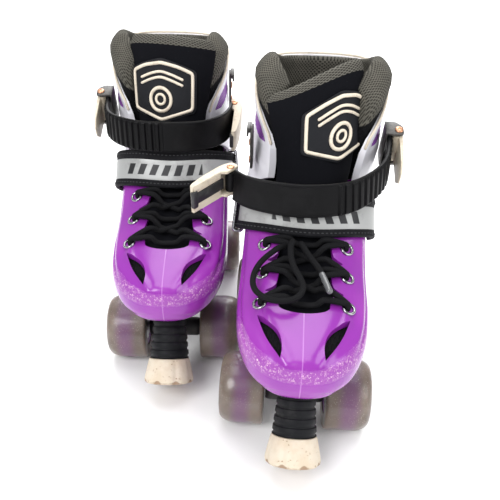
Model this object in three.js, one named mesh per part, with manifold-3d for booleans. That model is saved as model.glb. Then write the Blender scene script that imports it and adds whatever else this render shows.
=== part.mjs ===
// A pair of adjustable quad roller skates: moulded shell, hinged cuff, padded boot, straps, trucks,
// wheels and toe stops.
// Millimetres, +Z up, toes towards -Y, origin under the middle of the pair, on the floor.
// Each skate is drawn as a right skate, with its inner side at +X and its origin on the floor, midway
// between the axles. The left skate is the same drawing mirrored. A moving mesh has its own origin on
// its joint.
import * as THREE from 'three';
import { mergeVertices } from 'three/addons/utils/BufferGeometryUtils.js';
import Module from 'manifold-3d';

const wasm = await Module();
wasm.setup();

// ---- driving dimensions -------------------------------------------------------------------------

const GAP = 0.35;                  // between pieces that rest on each other
const RUNNING_GAP = 0.3;           // radial, round a shaft

const WHEEL_DIAMETER = 54;
const WHEEL_WIDTH = 33.3;
const TRACK = 111.3;               // over the outer faces of a pair of wheels
const WHEELBASE = 145.5;
const AXLE_RADIUS = 4;
const NUT_RADIUS = 6.8;
const HUB_RECESS_RADIUS = 13;
const HUB_RECESS_DEPTH = 5;

const SOLE_HEIGHT = 73.4;          // floor to the underside of the shell
const SHELL_LENGTH = 252;
const SHELL_WIDTH = 89.6;
const TOE_OVERHANG = 64.75;        // front axle to the toe's tip
const SHELL_WALL = 3.2;
const SECTION_POWER = 2.6;         // how square the boot's cross-section is
const HEEL_EDGE = 76;              // top edge of the shell at the back, above its underside

const LINER_WALL = 5;
const COLLAR_WALL = 9;
const TONGUE_WALL = 6.5;
const TONGUE_SLOT = 25;            // half the width that the padded boot leaves open for the tongue

const CUFF_WALL = 3;
const CUFF_PIVOT = new THREE.Vector3(0, 45, 128);
const CUFF_PIVOT_RADIUS = 5;
const CUFF_SIDE_SHIFT = 4.5;       // the leg opening sits this much to the outer side

const STRAP_THICKNESS = 2.6;
const ANKLE_STRAP_WIDTH = 23;
const INSTEP_STRAP_WIDTH = 27;
const LACE_DIAMETER = 4;

const PLATE_THICKNESS = 7;
const PLATE_HALF_WIDTH = 29;
const CUSHION_RADIUS = 12;
const CUSHION_LENGTH = 12;
const KINGPIN_RADIUS = 4.4;
const HANGER_RADIUS = 8;
const STEER_SLOPE = 45;            // degrees between the steering axis and the floor

const STEM_TOP_RADIUS = 12.7;
const STEM_END_RADIUS = 15.5;
const STEM_LENGTH = 30;
const PAD_END_RADIUS = 19.3;
const PAD_LENGTH = 19.5;
const TOE_STOP_SLOPE = 34.5;       // degrees that the stem leans forward from upright

const LEVER_LENGTH = 40;
const LEVER_WIDTH = 20;
const PIN_RADIUS = 2;

const PAIR_SPACING = 106.1;        // left skate to the side of the right one
const PAIR_STAGGER = 75.6;         // left skate ahead of the right one
const RIGHT_YAW = 1.84;            // degrees about +Z
const LEFT_YAW = -3.18;

// ---- materials ----------------------------------------------------------------------------------

function finish(color, roughness, metalness = 0, opacity = 1) {
  return new THREE.MeshStandardMaterial({ color, roughness, metalness, opacity, transparent: opacity < 1 });
}

const MATERIALS = {
  shell: () => finish(0x9a35c4, 0.18),
  cuff: () => finish(0xe4e2ea, 0.35),
  lining: () => finish(0x5c5a52, 0.95),
  neoprene: () => finish(0x111114, 0.9),
  instepStrap: () => finish(0x17171a, 0.6),
  ankleStrap: () => finish(0x121214, 0.45),
  rubber: () => finish(0x1d1d1f, 0.75),
  pad: () => finish(0xe9dfcf, 0.7),
  truck: () => finish(0x141416, 0.5),
  steel: () => finish(0xb9bcc2, 0.25, 1),
  wheel: () => finish(0x7b6a6c, 0.3, 0, 0.8),
  buckle: () => finish(0xd9cdb8, 0.55),
  bracket: () => finish(0x4a4a4c, 0.4, 0.7),
  cushion: () => finish(0x2a2a2c, 0.8),
  lace: () => finish(0x0e0e10, 0.9),
};

// ---- solids -------------------------------------------------------------------------------------

// A closed three.js geometry as a solid that can be cut and joined.
function solidFrom(geometry) {
  const plain = geometry.clone();
  plain.deleteAttribute('normal');
  plain.deleteAttribute('uv');
  const merged = mergeVertices(plain, 1e-4);
  const vertProperties = merged.getAttribute('position').array;
  const triVerts = new Uint32Array(merged.index.array);
  return new wasm.Manifold(new wasm.Mesh({ numProp: 3, vertProperties, triVerts }));
}

function geometryFrom(solid) {
  const mesh = solid.getMesh();
  const geometry = new THREE.BufferGeometry();
  geometry.setAttribute('position', new THREE.BufferAttribute(new Float32Array(mesh.vertProperties), 3));
  geometry.setIndex(new THREE.BufferAttribute(new Uint32Array(mesh.triVerts), 1));
  return geometry;
}

// A solid through a row of closed rings with equal counts of points, with a fan over each end.
function loft(rings) {
  const count = rings[0].length;
  const positions = rings.flat().flatMap((p) => [p.x, p.y, p.z]);
  const faces = [];
  for (let r = 0; r + 1 < rings.length; r += 1) {
    for (let i = 0; i < count; i += 1) {
      const a = r * count + i;
      const b = r * count + (i + 1) % count;
      faces.push(a, b, b + count, a, b + count, a + count);
    }
  }
  [[0, 1], [rings.length - 1, 0]].forEach(([r, turned]) => {
    const middle = new THREE.Vector3();
    rings[r].forEach((p) => middle.addScaledVector(p, 1 / count));
    const hub = positions.length / 3;
    positions.push(middle.x, middle.y, middle.z);
    for (let i = 0; i < count; i += 1) {
      const a = r * count + i;
      const b = r * count + (i + 1) % count;
      faces.push(...(turned ? [hub, b, a] : [hub, a, b]));
    }
  });
  if (enclosedVolume(positions, faces) < 0) {
    faces.reverse();
  }
  const geometry = new THREE.BufferGeometry();
  geometry.setAttribute('position', new THREE.BufferAttribute(new Float32Array(positions), 3));
  geometry.setIndex(faces);
  return solidFrom(geometry);
}

function enclosedVolume(positions, faces) {
  const corner = (i) => new THREE.Vector3().fromArray(positions, faces[i] * 3);
  let volume = 0;
  for (let i = 0; i < faces.length; i += 3) {
    volume += corner(i).dot(corner(i + 1).cross(corner(i + 2))) / 6;
  }
  return volume;
}

function rod(from, to, startRadius, endRadius = startRadius, sides = 10) {
  const along = to.clone().sub(from);
  const geometry = new THREE.CylinderGeometry(endRadius, startRadius, along.length(), sides);
  geometry.applyQuaternion(new THREE.Quaternion().setFromUnitVectors(UP, along.clone().normalize()));
  const middle = from.clone().add(to).multiplyScalar(0.5);
  geometry.translate(middle.x, middle.y, middle.z);
  return solidFrom(geometry);
}

function block(x0, x1, y0, y1, z0, z1) {
  const geometry = new THREE.BoxGeometry(x1 - x0, y1 - y0, z1 - z0);
  geometry.translate((x0 + x1) / 2, (y0 + y1) / 2, (z0 + z1) / 2);
  return solidFrom(geometry);
}

// An outline in Y and Z, drawn out from one X to another.
function sidePlate(outline, x0, x1) {
  const shape = new THREE.Shape(outline.map(([y, z]) => new THREE.Vector2(y, z)));
  const geometry = new THREE.ExtrudeGeometry(shape, { depth: x1 - x0, bevelEnabled: false });
  geometry.applyMatrix4(new THREE.Matrix4().set(0, 0, 1, x0, 1, 0, 0, 0, 0, 1, 0, 0, 0, 0, 0, 1));
  return solidFrom(geometry);
}

// An outline in X and Y, drawn out from one Z to another.
function planPlate(outline, z0, z1) {
  const shape = new THREE.Shape(outline.map(([x, y]) => new THREE.Vector2(x, y)));
  const geometry = new THREE.ExtrudeGeometry(shape, { depth: z1 - z0, bevelEnabled: false });
  geometry.translate(0, 0, z0);
  return solidFrom(geometry);
}

// A profile of [radius, distance] pairs turned about an axis that starts at a point.
function turned(profile, start, direction, sides = 24) {
  const geometry = new THREE.LatheGeometry(profile.map(([r, d]) => new THREE.Vector2(r, d)), sides);
  geometry.applyQuaternion(new THREE.Quaternion().setFromUnitVectors(UP, direction));
  geometry.translate(start.x, start.y, start.z);
  return solidFrom(geometry);
}

// A flat band along a smooth path: its outer face looks along outward(point), and its width runs across.
function band(points, outward, width, thickness, steps) {
  const path = new THREE.CatmullRomCurve3(points, false, 'centripetal');
  const rings = [];
  for (let i = 0; i <= steps; i += 1) {
    const at = path.getPointAt(i / steps);
    const along = path.getTangentAt(i / steps);
    const across = along.clone().cross(outward(at)).normalize();
    const out = across.clone().cross(along).normalize();
    rings.push([[-1, -1], [1, -1], [1, 1], [-1, 1]].map(([u, v]) => at.clone()
      .addScaledVector(across, u * width / 2).addScaledVector(out, v * thickness / 2)));
  }
  return loft(rings);
}

// A round cord along a smooth path.
function cordSolid(points, diameter, steps, sides = 8) {
  const section = new THREE.Shape(Array.from({ length: sides }, (_, k) => {
    const turn = 2 * Math.PI * k / sides;
    return new THREE.Vector2(Math.cos(turn) * diameter / 2, Math.sin(turn) * diameter / 2);
  }));
  const extrudePath = new THREE.CatmullRomCurve3(points, false, 'centripetal');
  return solidFrom(new THREE.ExtrudeGeometry(section, { steps, extrudePath, bevelEnabled: false }));
}

const UP = new THREE.Vector3(0, 1, 0);
const vec = (x, y, z) => new THREE.Vector3(x, y, z);
const radians = THREE.MathUtils.degToRad;
const joined = (...solids) => solids.reduce((a, b) => a.add(b));
const mirroredPairs = (pairs) => [...pairs, ...pairs.slice().reverse().map(([x, y]) => [-x, y])];

// Straight-line values between the rows of a table that starts with a rising key.
function between(table, key) {
  const last = table.length - 1;
  const clamped = Math.min(Math.max(key, table[0][0]), table[last][0]);
  const i = Math.max(table.findIndex((row) => row[0] >= clamped), 1);
  const share = (clamped - table[i - 1][0]) / (table[i][0] - table[i - 1][0]);
  return table[i].map((value, k) => table[i - 1][k] + share * (value - table[i - 1][k]));
}

// ---- the boot's form ----------------------------------------------------------------------------

const TOE_TIP = -WHEELBASE / 2 - TOE_OVERHANG;

// Share of the length from the toe, share of the width, lift of the underside, and height of the crown.
const BOOT_STATIONS = [
  [0.000, 0.20, 12.0, 27.0],
  [0.010, 0.38, 6.5, 31.5],
  [0.034, 0.59, 2.0, 35.5],
  [0.069, 0.77, 0.5, 39.0],
  [0.129, 0.90, 0.0, 44.0],
  [0.188, 0.965, 0.0, 48.7],
  [0.276, 1.00, 0.0, 55.5],
  [0.363, 1.00, 0.0, 66.0],
  [0.435, 0.995, 0.0, 84.0],
  [0.498, 0.99, 0.0, 100.0],
  [0.665, 0.93, 0.0, 104.0],
  [0.784, 0.92, 0.0, 104.0],
  [0.871, 0.84, 0.0, 104.0],
  [0.943, 0.62, 0.0, 76.0],
  [0.975, 0.41, 0.5, 44.0],
  [1.000, 0.12, 7.0, 17.0],
];

const bootY = (share) => TOE_TIP + share * SHELL_LENGTH;
const bootShare = (y) => (y - TOE_TIP) / SHELL_LENGTH;

function bootSection(share, inset) {
  const [, width, lift, crown] = between(BOOT_STATIONS, share);
  const low = SOLE_HEIGHT + lift + inset;
  const high = Math.max(SOLE_HEIGHT + crown - inset, low + 4);
  return { half: width * (SHELL_WIDTH / 2 - inset), low, high };
}

// Height of the boot's upper surface over a point in plan.
function bootTop(x, y, inset = 0) {
  const { half, low, high } = bootSection(bootShare(y), inset);
  const reach = 1 - Math.min(Math.abs(x) / half, 1) ** SECTION_POWER;
  return (low + high) / 2 + (high - low) / 2 * reach ** (1 / SECTION_POWER);
}

function bootForm(inset, sides) {
  const rings = BOOT_STATIONS.map(([share]) => {
    const { half, low, high } = bootSection(share, inset);
    const y = bootY(share) + inset * (1 - 2 * share);
    return Array.from({ length: sides }, (_, i) => {
      const turn = 2 * Math.PI * (i + 0.5) / sides;
      const bulge = (value) => Math.sign(value) * Math.abs(value) ** (2 / SECTION_POWER);
      return vec(half * bulge(Math.cos(turn)), y, (low + high) / 2 + (high - low) / 2 * bulge(Math.sin(turn)));
    });
  });
  return loft(rings);
}

// Everything over the boot's top edge from the instep to the heel, lowered by a drop.
function overTopEdge(drop) {
  const edge = [[0.41, 96], [0.465, 84], [0.545, 84], [0.64, 75], [0.78, 70], [0.90, 74], [1.1, HEEL_EDGE + 2]];
  const line = edge.map(([share, height]) => [bootY(share), SOLE_HEIGHT + height - drop]);
  const sky = SOLE_HEIGHT + 260;
  return sidePlate([...line, [line.at(-1)[0], sky], [line[0][0], sky]], -SHELL_WIDTH, SHELL_WIDTH);
}

// ---- shell --------------------------------------------------------------------------------------

const EYELET_ROWS = [0.181, 0.279, 0.365];   // shares of the shell's length
const EYELET_SPREAD = 27.4;
const TAB_REACH = 18.5;                      // half the opening's width at a tab's point
const NOTCH_REACH = 23;

// The lace opening in plan: a round front, a tab at each eyelet and a notch between, flaring to the ankle.
function laceOpening() {
  const front = bootY(0.147);
  const right = [];
  for (let i = 0; i <= 2; i += 1) {
    const turn = i / 2 * Math.PI / 2;
    right.push([15.5 * Math.sin(turn), front + 7.5 * (1 - Math.cos(turn))]);
  }
  EYELET_ROWS.forEach((share) => {
    right.push([TAB_REACH, bootY(share) + 4.5]);
    right.push([NOTCH_REACH, bootY(share) + 9]);
  });
  right.push([26, bootY(0.425)], [36, bootY(0.465)]);
  return planPlate(mirroredPairs(right).slice(1), SOLE_HEIGHT + 30, SOLE_HEIGHT + 200);
}

// A leaf-shaped vent on each side of the toe.
function toeVents() {
  const head = vec(29.5, bootY(0.15), 0);
  const tip = vec(13.5, bootY(0.027), 0);
  const side = tip.clone().sub(head).normalize().cross(vec(0, 0, 1));
  const outline = [];
  for (let i = 0; i < 3; i += 1) {
    const s = i / 3;
    outline.push(head.clone().lerp(tip, s).addScaledVector(side, -1.6 * Math.sin(Math.PI * s)));
  }
  for (let i = 4; i > 0; i -= 1) {
    const s = i / 4;
    outline.push(head.clone().lerp(tip, s).addScaledVector(side, 5.6 * Math.sin(Math.PI * s) ** 0.8));
  }
  const low = SOLE_HEIGHT + 24;
  return [1, -1].map((s) => {
    const points = outline.map((p) => [s * p.x, p.y]);
    return planPlate(s > 0 ? points : points.reverse(), low, low + 60);
  });
}

function pivotHole(radius) {
  const reach = vec(SHELL_WIDTH, 0, 0);
  return rod(CUFF_PIVOT.clone().sub(reach), CUFF_PIVOT.clone().add(reach), radius, radius, 16);
}

function makeShell() {
  let shell = bootForm(0, 16).subtract(bootForm(SHELL_WALL, 14));
  shell = shell.subtract(overTopEdge(0)).subtract(openTop(SHELL_WALL)).subtract(laceOpening());
  toeVents().forEach((vent) => {
    shell = shell.subtract(vent);
  });
  return largestPiece(shell.subtract(pivotHole(CUFF_PIVOT_RADIUS + RUNNING_GAP)));
}

// The ankle well: all that lies over the middle of the boot's inside, from the instep to the heel.
function openTop(inset) {
  const wall = SHELL_WIDTH / 2 - inset;
  const right = [0.47, 0.665, 0.784, 0.871, 0.92].map((share) => {
    const [, width] = between(BOOT_STATIONS, share);
    return [width * wall, bootY(share)];
  });
  right.unshift([36, bootY(0.465)]);
  return planPlate(mirroredPairs(right), SOLE_HEIGHT + 50, SOLE_HEIGHT + 200);
}

function largestPiece(solid) {
  return solid.decompose().sort((a, b) => b.volume() - a.volume())[0];
}

// ---- padded boot --------------------------------------------------------------------------------

const LINER_INSET = SHELL_WALL + 2 * GAP;
const TONGUE_INSET = SHELL_WALL + 2.6;      // the tongue's upper face under the shell's outer one

function makeFootLiner() {
  let liner = bootForm(LINER_INSET, 14).subtract(bootForm(LINER_INSET + LINER_WALL, 12));
  const slot = mirroredPairs([[TONGUE_SLOT, bootY(0.15)], [TONGUE_SLOT, bootY(0.40)], [34, bootY(0.47)]]);
  liner = liner.subtract(planPlate(slot, SOLE_HEIGHT + 28, SOLE_HEIGHT + 200));
  return largestPiece(liner.subtract(overTopEdge(3)).subtract(openTop(LINER_INSET + LINER_WALL)));
}

function makeInstepTongue() {
  const rings = [0.152, 0.19, 0.235, 0.28, 0.325, 0.37, 0.405, 0.438].map((share) => {
    const y = bootY(share);
    const half = TONGUE_SLOT - 2;
    const across = [-1, -0.6, -0.2, 0.2, 0.6, 1].map((s) => s * half);
    const upper = across.map((x) => vec(x, y, bootTop(x, y, TONGUE_INSET)));
    const lower = across.slice().reverse().map((x) => vec(x, y, bootTop(x, y, TONGUE_INSET) - TONGUE_WALL));
    return [...upper, ...lower];
  });
  return loft(rings);
}

// Height, front face and half width of the tongue over the ankle.
const TONGUE_STATIONS = [
  [170, -25.5, 24],
  [188, -20.0, 27],
  [210, -13.0, 30.5],
  [232, -7.0, 33],
  [244, -4.0, 34],
  [250, -1.5, 31],
];
const TONGUE_BOW = 0.012;

// slant is how much lower the tongue's top edge runs on the inner side than on the outer one.
function makeAnkleTongue(slant) {
  const rings = TONGUE_STATIONS.map(([level, front, half]) => {
    const share = THREE.MathUtils.smoothstep(level, 200, 250);
    const height = (x) => level - slant * share * THREE.MathUtils.smoothstep(x / half, -1, 1);
    const across = [-1, -0.6, -0.2, 0.2, 0.6, 1].map((s) => s * half);
    const bow = (x) => front + TONGUE_BOW * x * x;
    return [...across.map((x) => vec(x, bow(x), height(x))),
      ...across.slice().reverse().map((x) => vec(x, bow(x) + TONGUE_WALL, height(x)))];
  });
  return loft(rings);
}

// ---- cuff and collar ----------------------------------------------------------------------------

// Height, widest place in Y, half width, reach to the front and to the back of it, and share of the
// side shift.
const CUFF_STATIONS = [
  [104, 50, 48.8, 78, 69, 0],
  [135, 48, 48.8, 76, 65, 0],
  [150, 46, 48.4, 72, 63, 0.2],
  [165, 44, 47.2, 57, 58, 0.6],
  [190, 42, 47.2, 54, 53, 1],
  [215, 41, 48.2, 52, 51, 1.1],
  [248, 41, 50.0, 51, 50, 1.2],
];
const OVAL_BULGE = 0.86;           // below 1 the oval is squarer than an ellipse

function cuffOval(z, inset, sides) {
  const [, middle, half, ahead, behind, shift] = between(CUFF_STATIONS, z);
  return Array.from({ length: sides }, (_, i) => {
    const turn = 2 * Math.PI * i / sides;
    const bulge = (value) => Math.sign(value) * Math.abs(value) ** OVAL_BULGE;
    const reach = (Math.sin(turn) < 0 ? ahead : behind) - inset;
    const x = -shift * CUFF_SIDE_SHIFT + (half - inset) * bulge(Math.cos(turn));
    return vec(x, middle + reach * bulge(Math.sin(turn)), z);
  });
}

function cuffForm(inset, sides = 16) {
  return loft(CUFF_STATIONS.map(([z]) => cuffOval(z, inset, sides)));
}

function makeCuff() {
  const outline = [
    [-1, 167], [0, 189], [11, 205], [30, 220], [58, 231], [84, 235], [130, 236],
    [130, 124], [84, 118], [64, 112], [47, 107.5], [34, 112], [27, 128], [23, 149], [10, 161],
  ];
  const tallest = CUFF_STATIONS.at(-1)[0];
  let cuff = cuffForm(0).subtract(cuffForm(CUFF_WALL));
  cuff = cuff.intersect(sidePlate(outline, -SHELL_WIDTH, SHELL_WIDTH));
  cuff = cuff.subtract(block(-20, 20, -40, 40, 100, tallest));
  return largestPiece(cuff.subtract(pivotHole(CUFF_PIVOT_RADIUS + RUNNING_GAP)));
}

function makeCollar() {
  const outline = [
    [-24, 171], [20, 168], [40, 158], [130, 158], [130, 239], [80, 239],
    [52, 244], [20, 243], [4, 236], [-10, 222], [-24, 216],
  ];
  const outer = cuffForm(CUFF_WALL + 1);
  const inner = cuffForm(CUFF_WALL + 1 + COLLAR_WALL);
  const slot = block(-33 - CUFF_SIDE_SHIFT / 2, 33 - CUFF_SIDE_SHIFT / 2, -60, 26, 120, 300);
  const wall = outer.subtract(inner).intersect(sidePlate(outline, -SHELL_WIDTH, SHELL_WIDTH));
  return largestPiece(wall.subtract(slot));
}

// A headed rivet through the shell and the cuff on one side.
function makeCuffRivet(side) {
  const inner = side * (SHELL_WIDTH / 2 * 0.92 - SHELL_WALL + 0.2);
  const face = side * (CUFF_STATIONS[0][2] + GAP);
  const at = (x) => vec(x, CUFF_PIVOT.y, CUFF_PIVOT.z);
  return joined(rod(at(inner), at(face + side * 0.5), CUFF_PIVOT_RADIUS, CUFF_PIVOT_RADIUS, 16),
    rod(at(face), at(face + side * 2.4), 9, 6.5, 16));
}

// ---- straps -------------------------------------------------------------------------------------

// Middle line of the instep strap, from the outer side over the tongue to the ring.
const INSTEP_PATH = [
  vec(-47.6, 4, 134), vec(-48.4, -9, 142), vec(-44.2, -23, 150.5), vec(-28, -35, 156), vec(0, -39.2, 156.3),
  vec(28, -35, 156.5), vec(43.2, -24, 152), vec(48.8, -11, 146), vec(49.4, 2, 140),
];

const instepOutward = (at) => {
  const forward = 1.1 * Math.max(0, 1 - (at.x / 52) ** 2);
  return vec(at.x / 30, -forward, 0.62 - Math.abs(at.x) / 120);
};

function makeInstepStrap() {
  return band(INSTEP_PATH, instepOutward, INSTEP_STRAP_WIDTH, STRAP_THICKNESS, 16);
}

// A wire rectangle that the instep strap runs through.
function makeStrapRing() {
  const wire = 1.3;
  const path = new THREE.CatmullRomCurve3(INSTEP_PATH, false, 'centripetal');
  const share = 0.9;
  const at = path.getPointAt(share);
  const along = path.getTangentAt(share);
  const across = along.clone().cross(instepOutward(at)).normalize();
  const out = across.clone().cross(along).normalize();
  const tall = INSTEP_STRAP_WIDTH / 2 + wire + 1.2;
  const deep = STRAP_THICKNESS / 2 + wire + 0.7;
  const corner = ([u, v]) => at.clone().addScaledVector(across, u * tall).addScaledVector(out, v * deep);
  const corners = [[-1, -1], [1, -1], [1, 1], [-1, 1]].map(corner);
  const sides = corners.map((p, i) => {
    const next = corners[(i + 1) % corners.length];
    const reach = next.clone().sub(p).normalize().multiplyScalar(wire * 0.7);
    return rod(p.clone().sub(reach), next.clone().add(reach), wire, wire, 4);
  });
  return joined(...sides);
}

const ankleOutward = (at) => vec(at.x / 28, (at.y - 42) / 60, 0.12 * (1 - Math.abs(at.x) / 46));

function makeAnkleStrap(path) {
  return band(path, ankleOutward, ANKLE_STRAP_WIDTH, STRAP_THICKNESS, 18);
}

// ---- buckles ------------------------------------------------------------------------------------

// Buckles are drawn in a frame of their own: origin at the pin's middle, -Y along the lever, +X away
// from the boot.

const EAR_THICKNESS = 2;
const BARREL_RADIUS = 3.7;

// The ratchet's body: a base plate under the strap, two ears and the lever's pin.
function makeRatchetBase() {
  const half = ANKLE_STRAP_WIDTH / 2 + 3 * GAP;
  const plate = block(-9.5, -8.2, -5, 9, -half - EAR_THICKNESS, half + EAR_THICKNESS);
  const ears = [1, -1].map((s) => {
    const z = [s * half, s * (half + EAR_THICKNESS)].sort((a, b) => a - b);
    return block(-9.5, 3.4, -4.5, 9, z[0], z[1]);
  });
  const reach = half + EAR_THICKNESS;
  return joined(plate, ...ears, rod(vec(0, 0, -reach), vec(0, 0, reach), PIN_RADIUS, PIN_RADIUS, 12));
}

// The ratchet's lever: a tapered plate that turns on the pin by its barrel.
function makeRatchetLever() {
  const half = ANKLE_STRAP_WIDTH / 2 - GAP;
  const tip = -LEVER_LENGTH * 0.86;
  const outline = [[2, 3.2], [3.6, 0.5], [3.6, -14], [0.5, tip], [-1.6, tip], [0.4, -14]];
  const plate = planPlate(outline.map(([x, y]) => [x, y]).reverse(), -half, half);
  const barrel = rod(vec(0, 0, -half), vec(0, 0, half), BARREL_RADIUS, BARREL_RADIUS, 16);
  const boreRadius = PIN_RADIUS + RUNNING_GAP;
  const bore = rod(vec(0, 0, -half - 1), vec(0, 0, half + 1), boreRadius, boreRadius, 10);
  return joined(plate, barrel).subtract(bore);
}

// The catch on the cuff that the cam lever pulls against: a strip with a hook at its head.
function makeCatchStrip() {
  const strip = block(-1, 1, -6, 6, -16, 16);
  return joined(strip, block(0.5, 3, -5, 5, 12.5, 16), block(2.2, 3.6, -5, 5, 9.5, 16));
}

// The cam lever: a channel with its open side towards the boot, on a pin through both walls.
function makeCamLever() {
  const half = LEVER_WIDTH / 2;
  const wall = 2.2;
  const tip = -LEVER_LENGTH + 4;
  const outline = [[-2.6, 5.5], [5, 5.5], [7, -4], [6, -LEVER_LENGTH * 0.6], [3.2, tip], [0.6, tip],
    [0.6, -8], [-2.6, -6.5]];
  const whole = planPlate(outline.reverse(), -half, half);
  const inside = [[-6, 8], [2.9, 8], [4.8, -4], [3.8, -LEVER_LENGTH * 0.6], [2, tip + 3], [-6, tip + 3]];
  const pin = rod(vec(0, 0, -half + 0.5), vec(0, 0, half - 0.5), PIN_RADIUS, PIN_RADIUS, 12);
  return whole.subtract(planPlate(inside.reverse(), -half + wall, half - wall)).add(pin);
}

// The knuckle on the ankle strap's end that holds the cam lever's pin.
function makeStrapKnuckle() {
  const half = LEVER_WIDTH / 2 - 2.2 - GAP;
  const barrel = rod(vec(0, 0, -half), vec(0, 0, half), BARREL_RADIUS, BARREL_RADIUS, 16);
  const bore = PIN_RADIUS + RUNNING_GAP;
  return { barrel, bore: rod(vec(0, 0, -half - 1), vec(0, 0, half + 1), bore, bore, 12) };
}

// ---- trucks, wheels and toe stop ----------------------------------------------------------------

const AXLE_HEIGHT = WHEEL_DIAMETER / 2;
const WHEEL_CENTRE = (TRACK - WHEEL_WIDTH) / 2;
const HANGER_HALF = TRACK / 2 - WHEEL_WIDTH - 2 * GAP;

// The steering axis of the front (-1) or rear (+1) truck: up and towards the middle of the skate.
function steering(end) {
  const slope = radians(STEER_SLOPE);
  const start = vec(0, end * WHEELBASE / 2, AXLE_HEIGHT);
  return { start, along: vec(0, -end * Math.cos(slope), Math.sin(slope)) };
}

const CUSHION_START = 19;
const cushionEnd = CUSHION_START + CUSHION_LENGTH;

function makeTruck(end) {
  const { start, along } = steering(end);
  const point = (t) => start.clone().addScaledVector(along, t);
  const side = vec(HANGER_HALF, 0, 0);
  const tube = rod(start.clone().sub(side), start.clone().add(side), HANGER_RADIUS);
  const web = rod(point(0), point(CUSHION_START - GAP - 3), 7.5, 11);
  const seat = rod(point(CUSHION_START - GAP - 5), point(CUSHION_START - GAP), CUSHION_RADIUS + 1);
  const finEnd = (s) => start.clone().add(vec(s * HANGER_HALF * 0.8, 0, 1));
  const fins = [1, -1].map((s) => rod(point(12), finEnd(s), 5, 4, 6));
  const bore = AXLE_RADIUS + RUNNING_GAP;
  const well = KINGPIN_RADIUS + 0.6;
  return joined(tube, web, seat, ...fins)
    .subtract(rod(start.clone().sub(side).sub(vec(1, 0, 0)), start.clone().add(side).add(vec(1, 0, 0)), bore))
    .subtract(rod(point(AXLE_RADIUS + 5), point(CUSHION_START + 1), well));
}

function makeAxle(end) {
  const { start } = steering(end);
  const reach = TRACK / 2 + 0.6;
  const nutStart = TRACK / 2 - HUB_RECESS_DEPTH + GAP;
  const at = (x) => vec(x, start.y, start.z);
  const nut = (s) => rod(at(s * nutStart), at(s * (nutStart + 5.2)), NUT_RADIUS, NUT_RADIUS, 6);
  return joined(rod(at(-reach), at(reach), AXLE_RADIUS, AXLE_RADIUS, 12), nut(1), nut(-1));
}

function makeCushion(end) {
  const { start, along } = steering(end);
  const hole = KINGPIN_RADIUS + 0.6;
  const profile = [[hole, 0], [CUSHION_RADIUS - 1, 0], [CUSHION_RADIUS, 2.5], [CUSHION_RADIUS, CUSHION_LENGTH - 2.5],
    [CUSHION_RADIUS - 1, CUSHION_LENGTH], [hole, CUSHION_LENGTH], [hole, 0]];
  return turned(profile, start.clone().addScaledVector(along, CUSHION_START), along, 12);
}

// A wheel about X, its inner face towards -X: a tight inner shoulder, a full outer one and a recess
// for the nut.
function makeWheel() {
  const radius = WHEEL_DIAMETER / 2;
  const half = WHEEL_WIDTH / 2;
  const bore = AXLE_RADIUS + RUNNING_GAP;
  const profile = [[bore, -half], [radius - 1.6, -half], [radius, -half + 1.6], [radius, half - 12.5],
    [radius - 1.4, half - 7], [radius - 5.6, half - 1.8], [HUB_RECESS_RADIUS, half],
    [HUB_RECESS_RADIUS, half - HUB_RECESS_DEPTH], [bore, half - HUB_RECESS_DEPTH], [bore, -half]];
  return turned(profile, vec(0, 0, 0), vec(1, 0, 0), 16);
}

const toeStopAxis = vec(0, -Math.sin(radians(TOE_STOP_SLOPE)), -Math.cos(radians(TOE_STOP_SLOPE)));
const STEM_START = vec(0, -WHEELBASE / 2 - 31.7, SOLE_HEIGHT - 15.8);

function makeStem() {
  const profile = [[0, 0], [STEM_TOP_RADIUS, 0]];
  const rings = 5;
  for (let i = 0; i < rings; i += 1) {
    const grow = (share) => STEM_TOP_RADIUS + (STEM_END_RADIUS - STEM_TOP_RADIUS) * share;
    const at = (share) => STEM_LENGTH * (i + share) / rings;
    profile.push([grow((i + 0.55) / rings), at(0.55)], [grow((i + 0.8) / rings) - 0.9, at(0.8)]);
  }
  profile.push([STEM_END_RADIUS, STEM_LENGTH], [0, STEM_LENGTH]);
  return turned(profile, STEM_START, toeStopAxis, 12);
}

function makePad() {
  const start = STEM_START.clone().addScaledVector(toeStopAxis, STEM_LENGTH + GAP);
  const profile = [[0, 0], [STEM_END_RADIUS, 0], [STEM_END_RADIUS + 0.9, 3], [PAD_END_RADIUS, PAD_LENGTH - 2],
    [PAD_END_RADIUS - 0.8, PAD_LENGTH], [0, PAD_LENGTH]];
  return turned(profile, start, toeStopAxis, 16);
}

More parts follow.
